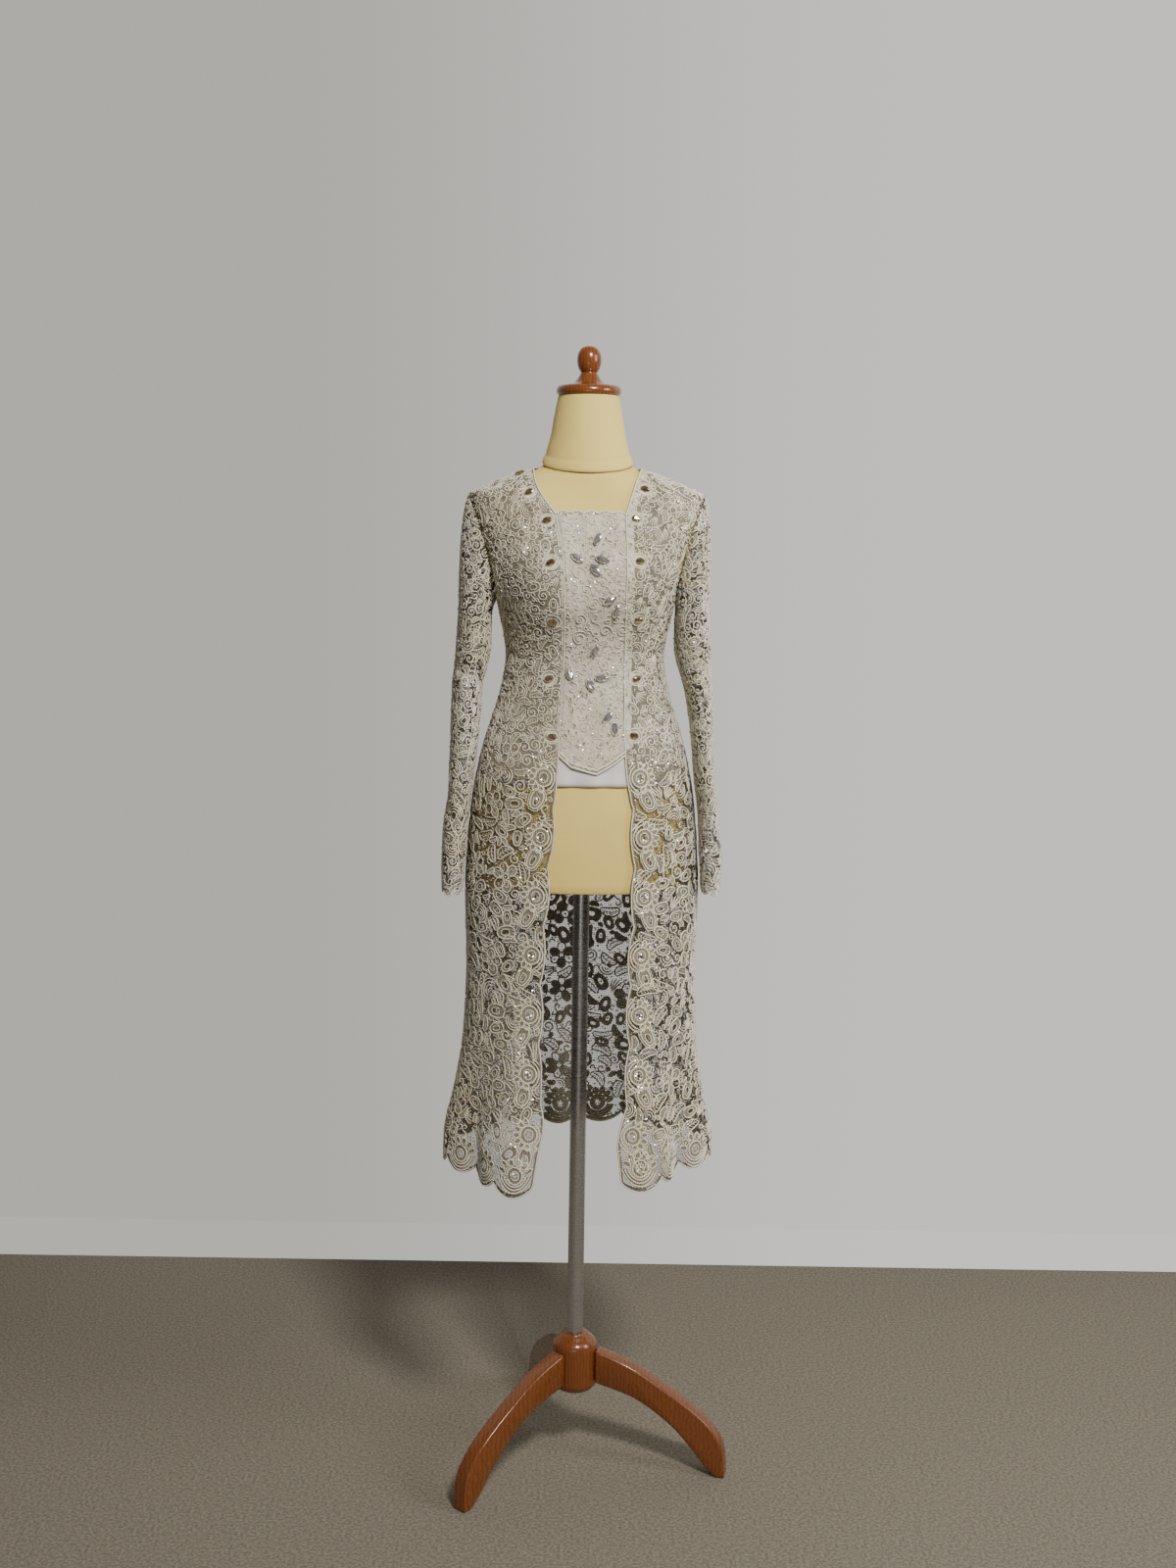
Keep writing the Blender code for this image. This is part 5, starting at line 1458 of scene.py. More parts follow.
def net_shell(cloth_piece, cover, material):
    """The lace's ground: a thin shell just under the solid's outer surface."""
    rows, columns = cloth_piece.points.shape[:2]
    climb = np.broadcast_to(cloth_piece.climb[:, None], (rows, columns))
    uv = np.stack((cloth_piece.reach, climb), axis=-1)
    piece = make_mesh(cloth_piece.name + "_net", cloth_piece.net.reshape(-1, 3),
                      [grid_faces(rows, columns, cloth_piece.hand)], uv.reshape(-1, 2), (material,))
    layer = piece.data.attributes.new("cover", "FLOAT", "POINT")
    layer.data.foreach_set("value", cover.astype(np.float32).ravel())
    thick = piece.modifiers.new("thickness", "SOLIDIFY")
    thick.thickness = NET_THICKNESS
    thick.offset = -1.0
    return piece


def cord_along(points, normals, width, rise, closed=False):
    """Four-sided cord through points in space, flat side down on the cloth."""
    step = np.gradient(points, axis=0)
    if closed:
        step = np.roll(points, -1, axis=0) - np.roll(points, 1, axis=0)
    step /= np.maximum(np.linalg.norm(step, axis=1, keepdims=True), 1e-9)
    side = np.cross(step, normals)
    half = width / 2
    shape = ((-1.0, 0.0), (-0.62, 0.75), (0.0, 1.0), (0.62, 0.75), (1.0, 0.0))
    ring = np.stack([points + side * (u * half) + normals * (v * rise) for u, v in shape], axis=1)
    n, m = len(points), len(shape)
    k = np.arange(n if closed else n - 1)
    quads = []
    for a in range(m):
        b = (a + 1) % m
        quads.append(np.stack((k * m + a, k * m + b, ((k + 1) % n) * m + b, ((k + 1) % n) * m + a), axis=1))
    gone = np.concatenate(((0.0,), np.cumsum(np.linalg.norm(np.diff(points, axis=0), axis=1))))
    uv = np.stack((np.repeat(gone, m), np.tile(np.linspace(0.0, CORD_WIDTH, m), n)), axis=1)
    return ring.reshape(-1, 3), np.concatenate(quads), uv


def cords_mesh(name, cords, material):
    """Joined mesh of several such cords."""
    verts, faces, uvs, total = [], [], [], 0
    for ring, quads, uv in cords:
        verts.append(ring)
        faces.append(quads + total)
        uvs.append(uv)
        total += len(ring)
    piece = make_mesh(name, np.concatenate(verts), [np.concatenate(faces)],
                      np.concatenate(uvs), (material,))
    return piece


def stone(length, width, rise, pointed):
    """Cut stone: table, crown and girdle rings about its own centre."""
    count = 12 if not pointed else 14
    angle = np.arange(count) * 2 * math.pi / count
    x, y = np.sin(angle), np.cos(angle)
    if pointed:
        x = np.sign(x) * np.abs(x) ** 1.35
    girdle = np.stack((x * width / 2, y * length / 2), axis=1)
    rings = [np.column_stack((girdle, np.full(count, 0.0))),
             np.column_stack((girdle * 1.0, np.full(count, rise * 0.30))),
             np.column_stack((girdle * 0.80, np.full(count, rise * 0.72))),
             np.column_stack((girdle * 0.50, np.full(count, rise)))]
    verts = np.concatenate(rings + [np.array(((0.0, 0.0, rise * 1.02),))])
    k = np.arange(count)
    nxt = (k + 1) % count
    quads, tris = [], []
    for low in (0,):
        quads.append(np.stack((low * count + nxt, low * count + k,
                               (low + 1) * count + k, (low + 1) * count + nxt), axis=1))
    for low in (1, 2):
        a, b = low * count + k, low * count + nxt
        c, d = (low + 1) * count + k, (low + 1) * count + nxt
        even = k % 2 == 0
        tris.append(np.stack((b, a, np.where(even, c, d)), axis=1))
        tris.append(np.stack((np.where(even, b, a), np.where(even, c, c), np.where(even, d, d)), axis=1))
    tris.append(np.stack((3 * count + nxt, 3 * count + k, np.full(count, 4 * count)), axis=1))
    return verts, np.concatenate(quads), np.concatenate(tris)


def stones_mesh(name, cloth_piece, rows, size, pointed, material):
    """Stones of one cloth piece; rows are (i, j, turn)."""
    verts, quads, tris = stone(*size, pointed)
    all_verts, all_quads, all_tris = [], [], []
    for k, (i, j, turn) in enumerate(rows):
        i, j = np.array([i]), np.array([j])
        _, _, _, e1, e2 = cloth_piece.frames(i, j)
        normal = cloth_piece.read(cloth_piece.normal, i, j)[0]
        centre = cloth_piece.read(cloth_piece.net, i, j)[0] + normal * STONE_SEAT
        c, s = math.cos(turn), math.sin(turn)
        e1, e2 = e1[0] * cloth_piece.hand, e2[0]
        side, up = e1 * c + e2 * s, e2 * c - e1 * s
        all_verts.append(centre + verts[:, :1] * side + verts[:, 1:2] * up + verts[:, 2:] * normal)
        all_quads.append(quads + k * len(verts))
        all_tris.append(tris + k * len(verts))
    faces = [np.concatenate(all_quads), np.concatenate(all_tris)]
    return make_mesh(name, np.concatenate(all_verts), faces, materials=(material,), smooth=False)


def finished(piece, replaces=()):
    """Ride and stand-in of one piece."""
    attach(piece, "root")
    if replaces:
        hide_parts(*replaces)
    return piece


def beads_along(layout_cloth, i, j, pitch, radius):
    """Spots for a line of beads through rows and columns of the cloth."""
    points = layout_cloth.read(layout_cloth.points, i, j)
    length = np.concatenate(((0.0,), np.cumsum(np.linalg.norm(np.diff(points, axis=0), axis=1))))
    place = np.arange(0.0, length[-1], pitch)
    i, j = np.interp(place, length, i), np.interp(place, length, j)
    _, _, _, e1, e2 = layout_cloth.frames(i, j)
    return [layout_cloth.read(layout_cloth.net, i, j), layout_cloth.read(layout_cloth.normal, i, j),
            e1, e2, np.full(len(i), radius)]


def merge_spots(*groups):
    return [np.concatenate(parts) for parts in zip(*groups)]


def rows_at(cloth_piece, column, heights):
    """Fractional rows where a column passes the given heights."""
    z = cloth_piece.points[:, column, 2]
    return np.interp(heights, z, np.arange(len(z)))


def lined_cover(cloth_piece, margin, placket):
    """0 where the ground is open net, 1 where it is lined and painted with the shade between the cords, and
    2 where it is plain and light.
    """
    z = cloth_piece.points[..., 2]
    cover = np.clip((z - LINED_FROM) / 0.012, 0.0, 1.0)
    climb = np.broadcast_to(cloth_piece.climb[:, None], z.shape)
    reach = np.abs(cloth_piece.reach) if margin else np.full(z.shape, 1.0)
    free = np.clip((margin - reach) / 0.003, 0.0, 1.0) * (z < 1.14)
    hem = np.clip((0.006 - climb) / 0.003, 0.0, 1.0)
    strip = np.clip((placket - reach) / 0.003, 0.0, 1.0) * (z >= 1.14)
    return np.maximum(cover, 2.0 * np.maximum(np.maximum(free, hem), strip))


SETS = motif_sets()
EDGE_FLOWER_REACH = 0.0198
BEAD_LINE_REACH = 0.0440
HEM_FLOWER_RISE = 0.0272
HEM_FLOWER_SCALE, EDGE_FLOWER_SCALE = 1.28, 1.16
PLACKET = {"right": 0.0060, "left": 0.0125}
PANEL_SCALE = 0.95
# The panel's ground is mostly the plain light ground, with a little of the lined ground's painted shade
# mixed in.
PANEL_COVER = 1.75
# Large curls of the panel, from the photo. Columns: x, height, turn_deg, size, mirror
PANEL_CURLS = (
    (0.0007, 1.4265, 20.0, 0.62, 1.0), (0.0347, 1.4270, 90.0, 0.82, -1.0),
    (-0.0130, 1.3974, -18.0, 0.98, 1.0), (0.0157, 1.3354, 170.0, 0.72, -1.0),
    (0.0296, 1.3160, -40.0, 0.90, 1.0), (-0.0014, 1.2610, 125.0, 0.78, -1.0),
    (0.0289, 1.2645, 75.0, 0.90, 1.0), (-0.0161, 1.2325, 54.0, 0.98, -1.0),
    (0.0030, 1.1726, -15.0, 0.88, 1.0), (0.0247, 1.1511, -32.0, 0.90, -1.0),
    (0.0316, 1.4686, -25.0, 0.80, 1.0), (-0.0238, 1.3498, 190.0, 0.62, -1.0),
    (0.0479, 1.2192, 225.0, 0.60, 1.0), (-0.0200, 1.1860, 45.0, 0.62, -1.0),
)
PANEL_PLAN = (
    ("scroll", 5000, 0.98), ("wave", 5000, 0.95), ("ripple", 5000, 0.95), ("tuft", 5000, 0.95),
    ("curl", 16000, 0.94), ("bud", 9000, 0.94), ("stitch", 12000, 0.96), ("dot", 16000, 0.80),
)
SLEEVE_COVER = 0.0


def dress_front(side, seed):
    """Net, relief, beads, stones and bound edges of a front."""
    piece = front_cloth(side)
    layout = Layout(piece, seed)
    rng = np.random.default_rng(seed + 50)
    borders = [border_flower(rng) for _ in range(2)]
    lobes = [hem_lobe(rng) for _ in range(2)]
    setting = stone_setting()

    def column_at(i, reach):
        row = piece.reach[int(round(min(i, len(piece.reach) - 1)))]
        return np.interp(reach, row, np.arange(len(row)))

    columns = piece.points.shape[1]
    for k in range(FRONT_SCALLOPS):
        j = (k + 0.5) / FRONT_SCALLOPS * (columns - 1)
        i = np.interp(HEM_FLOWER_RISE, piece.climb, np.arange(len(piece.climb)))
        layout.put(lobes[k % 2], i, j, rng.uniform(-0.12, 0.12), HEM_FLOWER_SCALE, 1.0)
    z, k = SKIRT_START + EDGE_SCALLOP_PITCH * 0.5, 0
    while z < 1.125:
        i = float(rows_at(piece, 2, z))
        layout.put(borders[k % 2], i, column_at(i, EDGE_FLOWER_REACH), rng.uniform(-0.12, 0.12),
                   EDGE_FLOWER_SCALE, 1.0)
        z += EDGE_SCALLOP_PITCH
        k += 1
    stones = []
    for x, height in BAND_STONES[side]:
        i, j = piece.find(cloth(front_angle(np.float64(x), height), height) + POLE)
        j = min(max(j, 1.5), columns - 2.5)
        stones.append((i, j, rng.uniform(1.2, 1.9)))
        layout.put(setting, i, j, rng.uniform(-0.2, 0.2), 0.96 if height < 1.46 else 0.86, 1.0)

    layout.pack(SKIRT_PLAN, SETS, lambda p, reach: (p[:, 2] < 1.13) & (reach > 0.0045), lace_scale)
    layout.pack(UPPER_PLAN, SETS, lambda p, reach: (p[:, 2] >= 1.13) & (reach > 0.004), lace_scale)

    cover = lined_cover(piece, 0.0045, PLACKET[side])
    for i, j, _ in stones:
        place = piece.read(piece.points, np.array([i]), np.array([j]))[0]
        away = np.linalg.norm(piece.points - place, axis=-1)
        cover = np.maximum(cover, 2.0 * np.clip((0.0115 - away) / 0.002, 0.0, 1.0))
    net = finished(net_shell(piece, cover, NET), (piece.name,))
    parts = [layout.relief("cords", CORD), layout.relief("fills", FILL)]
    i = np.arange(4.0, rows_at(piece, 0, 1.12))
    wander = 0.0030 * np.sin(i * 0.41)
    j = np.array([column_at(row, BEAD_LINE_REACH + shift) for row, shift in zip(i, wander)])
    spots = merge_spots(layout.spots("bead"), beads_along(piece, i, j, 0.0046, 0.0013))
    parts.append(finished(bead_mesh(piece.name + "_beads", spots, BEAD)))
    sequins = sequin_mesh(piece.name + "_sequins", layout.spots("sequin"), SEQUIN, seed)
    parts.append(finished(sequins))
    set_stones = stones_mesh(piece.name + "_stones", piece, stones, BAND_STONE, False, BRONZE)
    parts.append(finished(set_stones))

    lower = int(rows_at(piece, 0, 1.13))
    corner = int(rows_at(piece, 0, NECK_CORNER))
    cords = [cord_along(piece.net[:lower + 1, 0], piece.normal[:lower + 1, 0], 0.0024, 0.0016),
             cord_along(piece.net[lower:corner + 1, 0], piece.normal[lower:corner + 1, 0], 0.0024, 0.0020),
             cord_along(piece.net[corner:, 0], piece.normal[corner:, 0], 0.0034, 0.0026),
             cord_along(piece.net[0], piece.normal[0], 0.0026, 0.0018)]
    parts.append(finished(cords_mesh(piece.name + "_edging", cords, CORD)))


def dress_back(seed):
    piece = back_cloth()
    layout = Layout(piece, seed)
    rng = np.random.default_rng(seed + 50)
    lobes = [hem_lobe(rng) for _ in range(2)]
    columns = piece.points.shape[1]
    for k in range(BACK_SCALLOPS):
        j = (k + 0.5) / BACK_SCALLOPS * (columns - 1)
        i = np.interp(HEM_FLOWER_RISE, piece.climb, np.arange(len(piece.climb)))
        layout.put(lobes[k % 2], i, j, rng.uniform(-0.12, 0.12), HEM_FLOWER_SCALE, 1.0)
    layout.pack(SKIRT_PLAN, SETS, lambda p, reach: p[:, 2] < 1.13, lace_scale)
    layout.pack(UPPER_PLAN, SETS, lambda p, reach: p[:, 2] >= 1.13, lace_scale)
    net = finished(net_shell(piece, lined_cover(piece, 0.0, 0.0), NET), (piece.name,))
    parts = [layout.relief("cords", BACK_CORD), layout.relief("fills", BACK_FILL),
             finished(bead_mesh("back_beads", layout.spots("bead"), BEAD)),
             finished(sequin_mesh("back_sequins", layout.spots("sequin"), SEQUIN, seed))]
    on_neck = np.abs(piece.points[-1, :, 0] - POLE[0]) <= NECK_POINT_X
    cords = [cord_along(piece.net[0], piece.normal[0], 0.0026, 0.0018),
             cord_along(piece.net[-1, on_neck], piece.normal[-1, on_neck], 0.0042, 0.0026)]
    parts.append(finished(cords_mesh("back_edging", cords, BACK_CORD)))


def dress_panel(seed):
    piece = panel_cloth()
    layout = Layout(piece, seed)
    stones = []
    for x, height, turn_deg in PANEL_STONES:
        i, j = piece.find(cloth(front_angle(np.float64(x), height), height) + POLE)
        stones.append((i, j, math.radians(turn_deg)))
        layout.block(piece.read(piece.points, np.array([i]), np.array([j]))[0], 0.0058)
    for k, (x, height, turn_deg, size, mirror) in enumerate(PANEL_CURLS):
        i, j = piece.find(cloth(front_angle(np.float64(x), height), height) + POLE)
        layout.put(SETS["round"][k % 2], i, j, math.radians(turn_deg), size, mirror)
    layout.pack(PANEL_PLAN, SETS, lambda p, reach: p[:, 2] > 0, lambda z: np.full(np.shape(z), PANEL_SCALE))
    cover = np.full(piece.points.shape[:2], PANEL_COVER)
    net = finished(net_shell(piece, cover, NET), (piece.name,))
    parts = [layout.relief("cords", CORD), layout.relief("fills", FILL),
             finished(bead_mesh("centre_panel_beads", layout.spots("bead"), BEAD)),
             finished(sequin_mesh("centre_panel_sequins", layout.spots("sequin"), SEQUIN, seed)),
             finished(stones_mesh("centre_panel_stones", piece, stones, PANEL_STONE, True, CRYSTAL))]
    cords = [cord_along(piece.net[0], piece.normal[0], 0.0040, 0.0026),
             cord_along(piece.net[1], piece.normal[1], 0.0040, 0.0020),
             cord_along(piece.net[-1], piece.normal[-1], 0.0030, 0.0018)]
    parts.append(finished(cords_mesh("centre_panel_edging", cords, CORD)))


def dress_sleeve(side, table, seed):
    piece = sleeve_cloth(side, table)
    layout = Layout(piece, seed)
    columns = piece.points.shape[1]
    stones = []
    for turn_deg, height, lean_deg in SLEEVE_STONES[side]:
        j = ((turn_deg + 180.0) % 360.0) / 360.0 * (columns - 1)
        i = float(rows_at(piece, int(j), height))
        stones.append((i, j, math.radians(lean_deg)))
        layout.block(piece.read(piece.points, np.array([i]), np.array([j]))[0], 0.0060)
    layout.pack(UPPER_PLAN, SETS, lambda p, reach: p[:, 2] > 0,
                lambda z: np.interp(z, (0.95, 1.30), (0.92, UPPER_SCALE)))
    climb = np.broadcast_to(piece.climb[:, None], piece.points.shape[:2])
    cover = np.maximum(SLEEVE_COVER, 2.0 * np.clip((0.008 - climb) / 0.003, 0.0, 1.0))
    net = finished(net_shell(piece, cover, NET), (piece.name,))
    parts = [layout.relief("cords", CORD), layout.relief("fills", FILL),
             finished(bead_mesh(piece.name + "_beads", layout.spots("bead"), BEAD)),
             finished(sequin_mesh(piece.name + "_sequins", layout.spots("sequin"), SEQUIN, seed)),
             finished(stones_mesh(piece.name + "_stones", piece, stones, SLEEVE_STONE, True, CRYSTAL))]
    cords = [cord_along(piece.net[0, :-1], piece.normal[0, :-1], 0.0028, 0.0018, closed=True)]
    parts.append(finished(cords_mesh(piece.name + "_edging", cords, CORD)))


def dress_lining():
    """Satin band round the hips, with small vertical creases and a stitched hem."""
    count = 240
    theta = np.linspace(math.pi, 3 * math.pi, count + 1)
    rows = []
    for z in np.linspace(LINING_HEM, LINING_TOP, 22):
        low = 1.0 - (z - LINING_HEM) / (LINING_TOP - LINING_HEM)
        uneven = 0.4 + 0.6 * np.cos(theta * 3) ** 2
        ripple = 0.0017 * np.sin(theta * 23 + 1.3 * np.sin(theta * 5)) * low * uneven
        hem = 0.0005 if z < LINING_HEM + 0.012 else 0.0
        depth = LACE_WALL + LAYER_GAP + 0.0004 - ripple * 0.5 - hem
        rows.append(cloth(theta, np.full(theta.shape, z)) - cloth_normal(theta, z) * depth[:, None])
    rows = np.array(rows) + POLE
    uv = np.stack(np.broadcast_arrays(theta[None] * 0.145, np.linspace(0, 0.115, 22)[:, None]), axis=-1)
    faces = grid_faces(22, count + 1)
    piece = make_mesh("lining_band", rows.reshape(-1, 3), [faces], uv.reshape(-1, 2), (SATIN,))
    thick = piece.modifiers.new("thickness", "SOLIDIFY")
    thick.thickness = 0.0006
    thick.offset = -1.0
    finished(piece, ("lining",))


# Dress form, as in the solids. Columns: height, inset
TORSO = (
    (0.930, 0.0075), (0.985, 0.0060), (1.035, 0.0056), (1.090, 0.0054), (1.125, 0.0054),
    (1.160, 0.0054), (1.200, 0.0054), (1.240, 0.0050), (1.280, 0.0046), (1.318, 0.0042),
    (1.352, 0.0040), (1.385, 0.0040), (1.420, 0.0042), (1.450, 0.0044), (1.475, 0.0046),
    (1.492, 0.0056), (1.505, 0.0058), (1.514, 0.0052), (1.524, 0.0046), (1.532, 0.0044),
    (1.538, 0.0042), (1.543, 0.0042), (1.547, 0.0042),
)
NECK_RADIUS, NECK_SEAM_HEIGHT, NECK_SEAM_TILT = 0.0625, 1.552, 0.20
NECK_TOP = 1.651
NECK_SEAM_RADIUS = 0.0650
# Jersey neck, with the cover's roll at its foot. Columns: share of its height, radius
NECK_PROFILE = (
    (0.00, 0.0650), (0.010, 0.0664), (0.030, 0.0668), (0.060, 0.0662), (0.090, 0.0650),
    (0.118, 0.0634), (0.140, 0.0620), (0.175, 0.0610), (0.25, 0.0592), (0.42, 0.0548),
    (0.68, 0.0505), (0.90, 0.0462), (1.00, 0.0440),
)
# Turned cap and its egg-shaped knob. Columns: radius, rise above the neck
CAP_PROFILE = (
    (0.0440, 0.0000), (0.0462, 0.0008), (0.0473, 0.0034), (0.0474, 0.0070), (0.0464, 0.0104),
    (0.0440, 0.0128), (0.0400, 0.0142), (0.0345, 0.0150), (0.0285, 0.0158), (0.0232, 0.0170),
    (0.0200, 0.0194), (0.0174, 0.0228), (0.0149, 0.0266), (0.0130, 0.0300), (0.0121, 0.0318),
    (0.0119, 0.0326), (0.0128, 0.0334), (0.0148, 0.0364), (0.0164, 0.0404), (0.0175, 0.0452),
    (0.0179, 0.0504), (0.0175, 0.0556), (0.0162, 0.0604), (0.0139, 0.0648), (0.0106, 0.0681),
    (0.0062, 0.0700), (0.0000, 0.0706),
)
HUB_BOTTOM, HUB_TOP = 0.112, 0.205
HUB_PROFILE = (
    (0.0000, 0.0000), (0.0200, 0.0000), (0.0220, 0.0006), (0.0270, 0.0030), (0.0310, 0.0060),
    (0.0340, 0.0100), (0.0354, 0.0145), (0.0355, 0.0180), (0.0355, 0.0700), (0.0352, 0.0745),
    (0.0338, 0.0790), (0.0310, 0.0830), (0.0275, 0.0860), (0.0240, 0.0890), (0.0222, 0.0912),
    (0.0198, 0.0930), (0.0130, 0.0930),
)
POLE_RADIUS = 0.0125
LEG_ANGLES_DEG = (-44.1, 75.9, 195.9)
LEG_THICKNESS = 0.026
LEG_TOP_EDGE = (
    (0.0358, 0.182), (0.0900, 0.164), (0.1400, 0.137), (0.1925, 0.1033),
    (0.2223, 0.0770), (0.2410, 0.0440), (0.2455, 0.0000),
)
LEG_LOWER_EDGE = (
    (0.2310, 0.0000), (0.2139, 0.0150), (0.1898, 0.0440), (0.1546, 0.0785),
    (0.1000, 0.1120), (0.0358, 0.1300),
)
REST_GAP = 0.0003


def rounded_rings(name, rings, material, cap_low=True, cap_high=True):
    """Closed smooth solid through rings of as many points."""
    rings = np.asarray(rings)
    count = rings.shape[1]
    quads = grid_faces(len(rings), count + 1)
    i, j = quads // (count + 1), quads % (count + 1) % count
    quads = i * count + j
    verts = rings.reshape(-1, 3)
    tris = []
    k = np.arange(count)
    if cap_low:
        verts = np.concatenate((verts, rings[0].mean(axis=0)[None]))
        tris.append(np.stack(((k + 1) % count, k, np.full(count, len(verts) - 1)), axis=1))
    if cap_high:
        verts = np.concatenate((verts, rings[-1].mean(axis=0)[None]))
        top = (len(rings) - 1) * count
        tris.append(np.stack((top + k, top + (k + 1) % count, np.full(count, len(verts) - 1)), axis=1))
    faces = [quads] + ([np.concatenate(tris)] if tris else [])
    piece = make_mesh(name, verts, faces, materials=(material,))
    piece.data.set_sharp_from_angle(angle=math.radians(50))
    return piece


def make_torso():
    """Padded torso under its jersey, a little inside the blouse."""
    turn = np.arange(120) * 2 * math.pi / 120
    inset = curve_through(TORSO, ("height", "inset"), "inset")
    heights = np.concatenate([np.linspace(a[0], b[0], 5)[:-1] for a, b in zip(TORSO, TORSO[1:])])
    rings = []
    for height in np.append(heights, TORSO[-1][0]):
        lean = max(0.0, (height - 1.50) / (NECK_SEAM_HEIGHT - 1.50))
        z = height - lean * NECK_SEAM_TILT * NECK_RADIUS * np.cos(turn)
        rings.append(cloth(turn, z) - cloth_normal(turn, z) * float(inset(height)))
    rings[0][:, 2] = TORSO[0][0]
    base = rings[0].copy()
    base[:, :2] *= 0.985
    base[:, 2] = TORSO[0][0]
    rings[0][:, 2] += 0.0028
    rings.insert(0, base)
    seat = np.stack((NECK_RADIUS * np.sin(turn), -NECK_RADIUS * np.cos(turn)), axis=-1)
    height = NECK_SEAM_HEIGHT + NECK_SEAM_TILT * seat[:, 1] - REST_GAP
    rings.append(np.concatenate((seat, height[:, None]), axis=1))
    cover = rounded_rings("form_torso_cover", np.array(rings) + POLE, JERSEY)
    piece = finished(cover, ("form_torso",))


def make_neck():
    turn = np.arange(112) * 2 * math.pi / 112
    rings = []
    radius_at = curve_through(NECK_PROFILE, ("share", "radius"), "radius")
    shares = np.concatenate((np.linspace(0.0, 0.2, 26), np.linspace(0.2, 1.0, 26)[1:]))
    for share in shares:
        radius = float(radius_at(share))
        x, y = radius * np.sin(turn), -radius * np.cos(turn)
        foot = NECK_SEAM_HEIGHT + NECK_SEAM_TILT * y
        rings.append(np.stack((x, y, foot + (NECK_TOP - foot) * share), axis=-1))
    cover = rounded_rings("form_neck_cover", np.array(rings) + POLE, JERSEY)
    piece = finished(cover, ("form_neck",))
    turn = np.linspace(0.0, 2 * math.pi, 97)[:-1]
    x, y = NECK_SEAM_RADIUS * np.sin(turn), -NECK_SEAM_RADIUS * np.cos(turn)
    seam = np.stack((x, y, NECK_SEAM_HEIGHT + NECK_SEAM_TILT * y - 0.0004), axis=-1) + POLE
    out = np.stack((np.sin(turn), -np.cos(turn), np.zeros(turn.shape)), axis=-1)
    thread = cord_along(seam, out, 0.0016, 0.0008, closed=True)
    finished(cords_mesh("form_neck_seam", [thread], SEAM))


def turned_piece(name, profile, base, sides, material, node):
    """Turned solid about the pole's axis."""
    turn = np.arange(sides) * 2 * math.pi / sides
    rings = []
    for radius, rise in profile:
        radius = max(radius, 0.0002)
        height = np.full(sides, base + rise)
        rings.append(np.stack((radius * np.sin(turn), -radius * np.cos(turn), height), axis=-1))
    piece = rounded_rings(name, np.array(rings) + POLE, material)
    return finished(piece, (node,))


def smooth_outline(points, steps=6):
    """Curve with rounded stretches through an open outline's points."""
    points = np.array(points)
    ends = np.concatenate((2 * points[:1] - points[1:2], points, 2 * points[-1:] - points[-2:-1]))
    made = []
    for a, b, c, d in zip(ends, ends[1:], ends[2:], ends[3:]):
        for t in np.linspace(0.0, 1.0, steps, endpoint=False):
            made.append(0.5 * (2 * b + (c - a) * t + (2 * a - 5 * b + 4 * c - d) * t * t
                               + (3 * b - a - 3 * c + d) * t ** 3))
    made.append(points[-1])
    return np.array(made)


def make_leg(index, angle_deg):
    """One curved leg sawn from a board, its edges rounded over."""
    outline = np.concatenate((smooth_outline(LEG_TOP_EDGE), smooth_outline(LEG_LOWER_EDGE)))
    board = bmesh.new()
    near = [board.verts.new((reach, -LEG_THICKNESS / 2, height)) for reach, height in outline]
    board.faces.new(near)
    sides = bmesh.ops.extrude_face_region(board, geom=list(board.faces))
    moved = [item for item in sides["geom"] if isinstance(item, bmesh.types.BMVert)]
    bmesh.ops.translate(board, verts=moved, vec=(0.0, LEG_THICKNESS, 0.0))
    bmesh.ops.recalc_face_normals(board, faces=board.faces)
    rims = [edge for edge in board.edges if len(edge.link_faces) == 2
            and edge.link_faces[0].normal.angle(edge.link_faces[1].normal) > math.radians(60)]
    bmesh.ops.bevel(board, geom=rims, offset=0.003, segments=3, profile=0.5, affect="EDGES")
    turn = Euler((0.0, 0.0, math.radians(angle_deg - 90.0))).to_matrix().to_4x4()
    bmesh.ops.transform(board, matrix=turn, verts=board.verts)
    bmesh.ops.translate(board, verts=board.verts, vec=Vector(POLE))
    mesh = bpy.data.meshes.new(f"leg_{index}_wood")
    board.to_mesh(mesh)
    board.free()
    mesh.materials.append(SAWN)
    mesh.shade_smooth()
    mesh.set_sharp_from_angle(angle=math.radians(35))
    piece = bpy.data.objects.new(f"leg_{index}_wood", mesh)
    bpy.context.collection.objects.link(piece)
    finished(piece, (f"leg_{index}",))


def build_part():
    dress_front("right", 11)
    dress_front("left", 12)
    dress_back(13)
    dress_panel(14)
    dress_sleeve("right", SLEEVE_RIGHT, 15)
    dress_sleeve("left", SLEEVE_LEFT, 16)
    dress_lining()
    make_torso()
    make_neck()
    turned_piece("neck_cap_wood", CAP_PROFILE, NECK_TOP + REST_GAP, 96, TURNED, "neck_cap")
    pole = ((POLE_RADIUS, 0.0), (POLE_RADIUS, 0.9297 - HUB_TOP - REST_GAP))
    turned_piece("pole_steel", pole, HUB_TOP + REST_GAP, 64, STEEL, "pole")
    turned_piece("hub_wood", HUB_PROFILE, HUB_BOTTOM, 80, TURNED, "hub")
    for index, angle_deg in enumerate(LEG_ANGLES_DEG, start=1):
        make_leg(index, angle_deg)


CAMERA_PLACE = (-0.0095, -2.804, 1.488)
CAMERA_PITCH, CAMERA_ROLL = 0.147, 0.0152
CAMERA_LENS = 42.75
FLOOR_COLOUR = (0.138, 0.122, 0.094)
WALL_COLOUR = (0.665, 0.65, 0.605)
FLOOR_END = 0.728
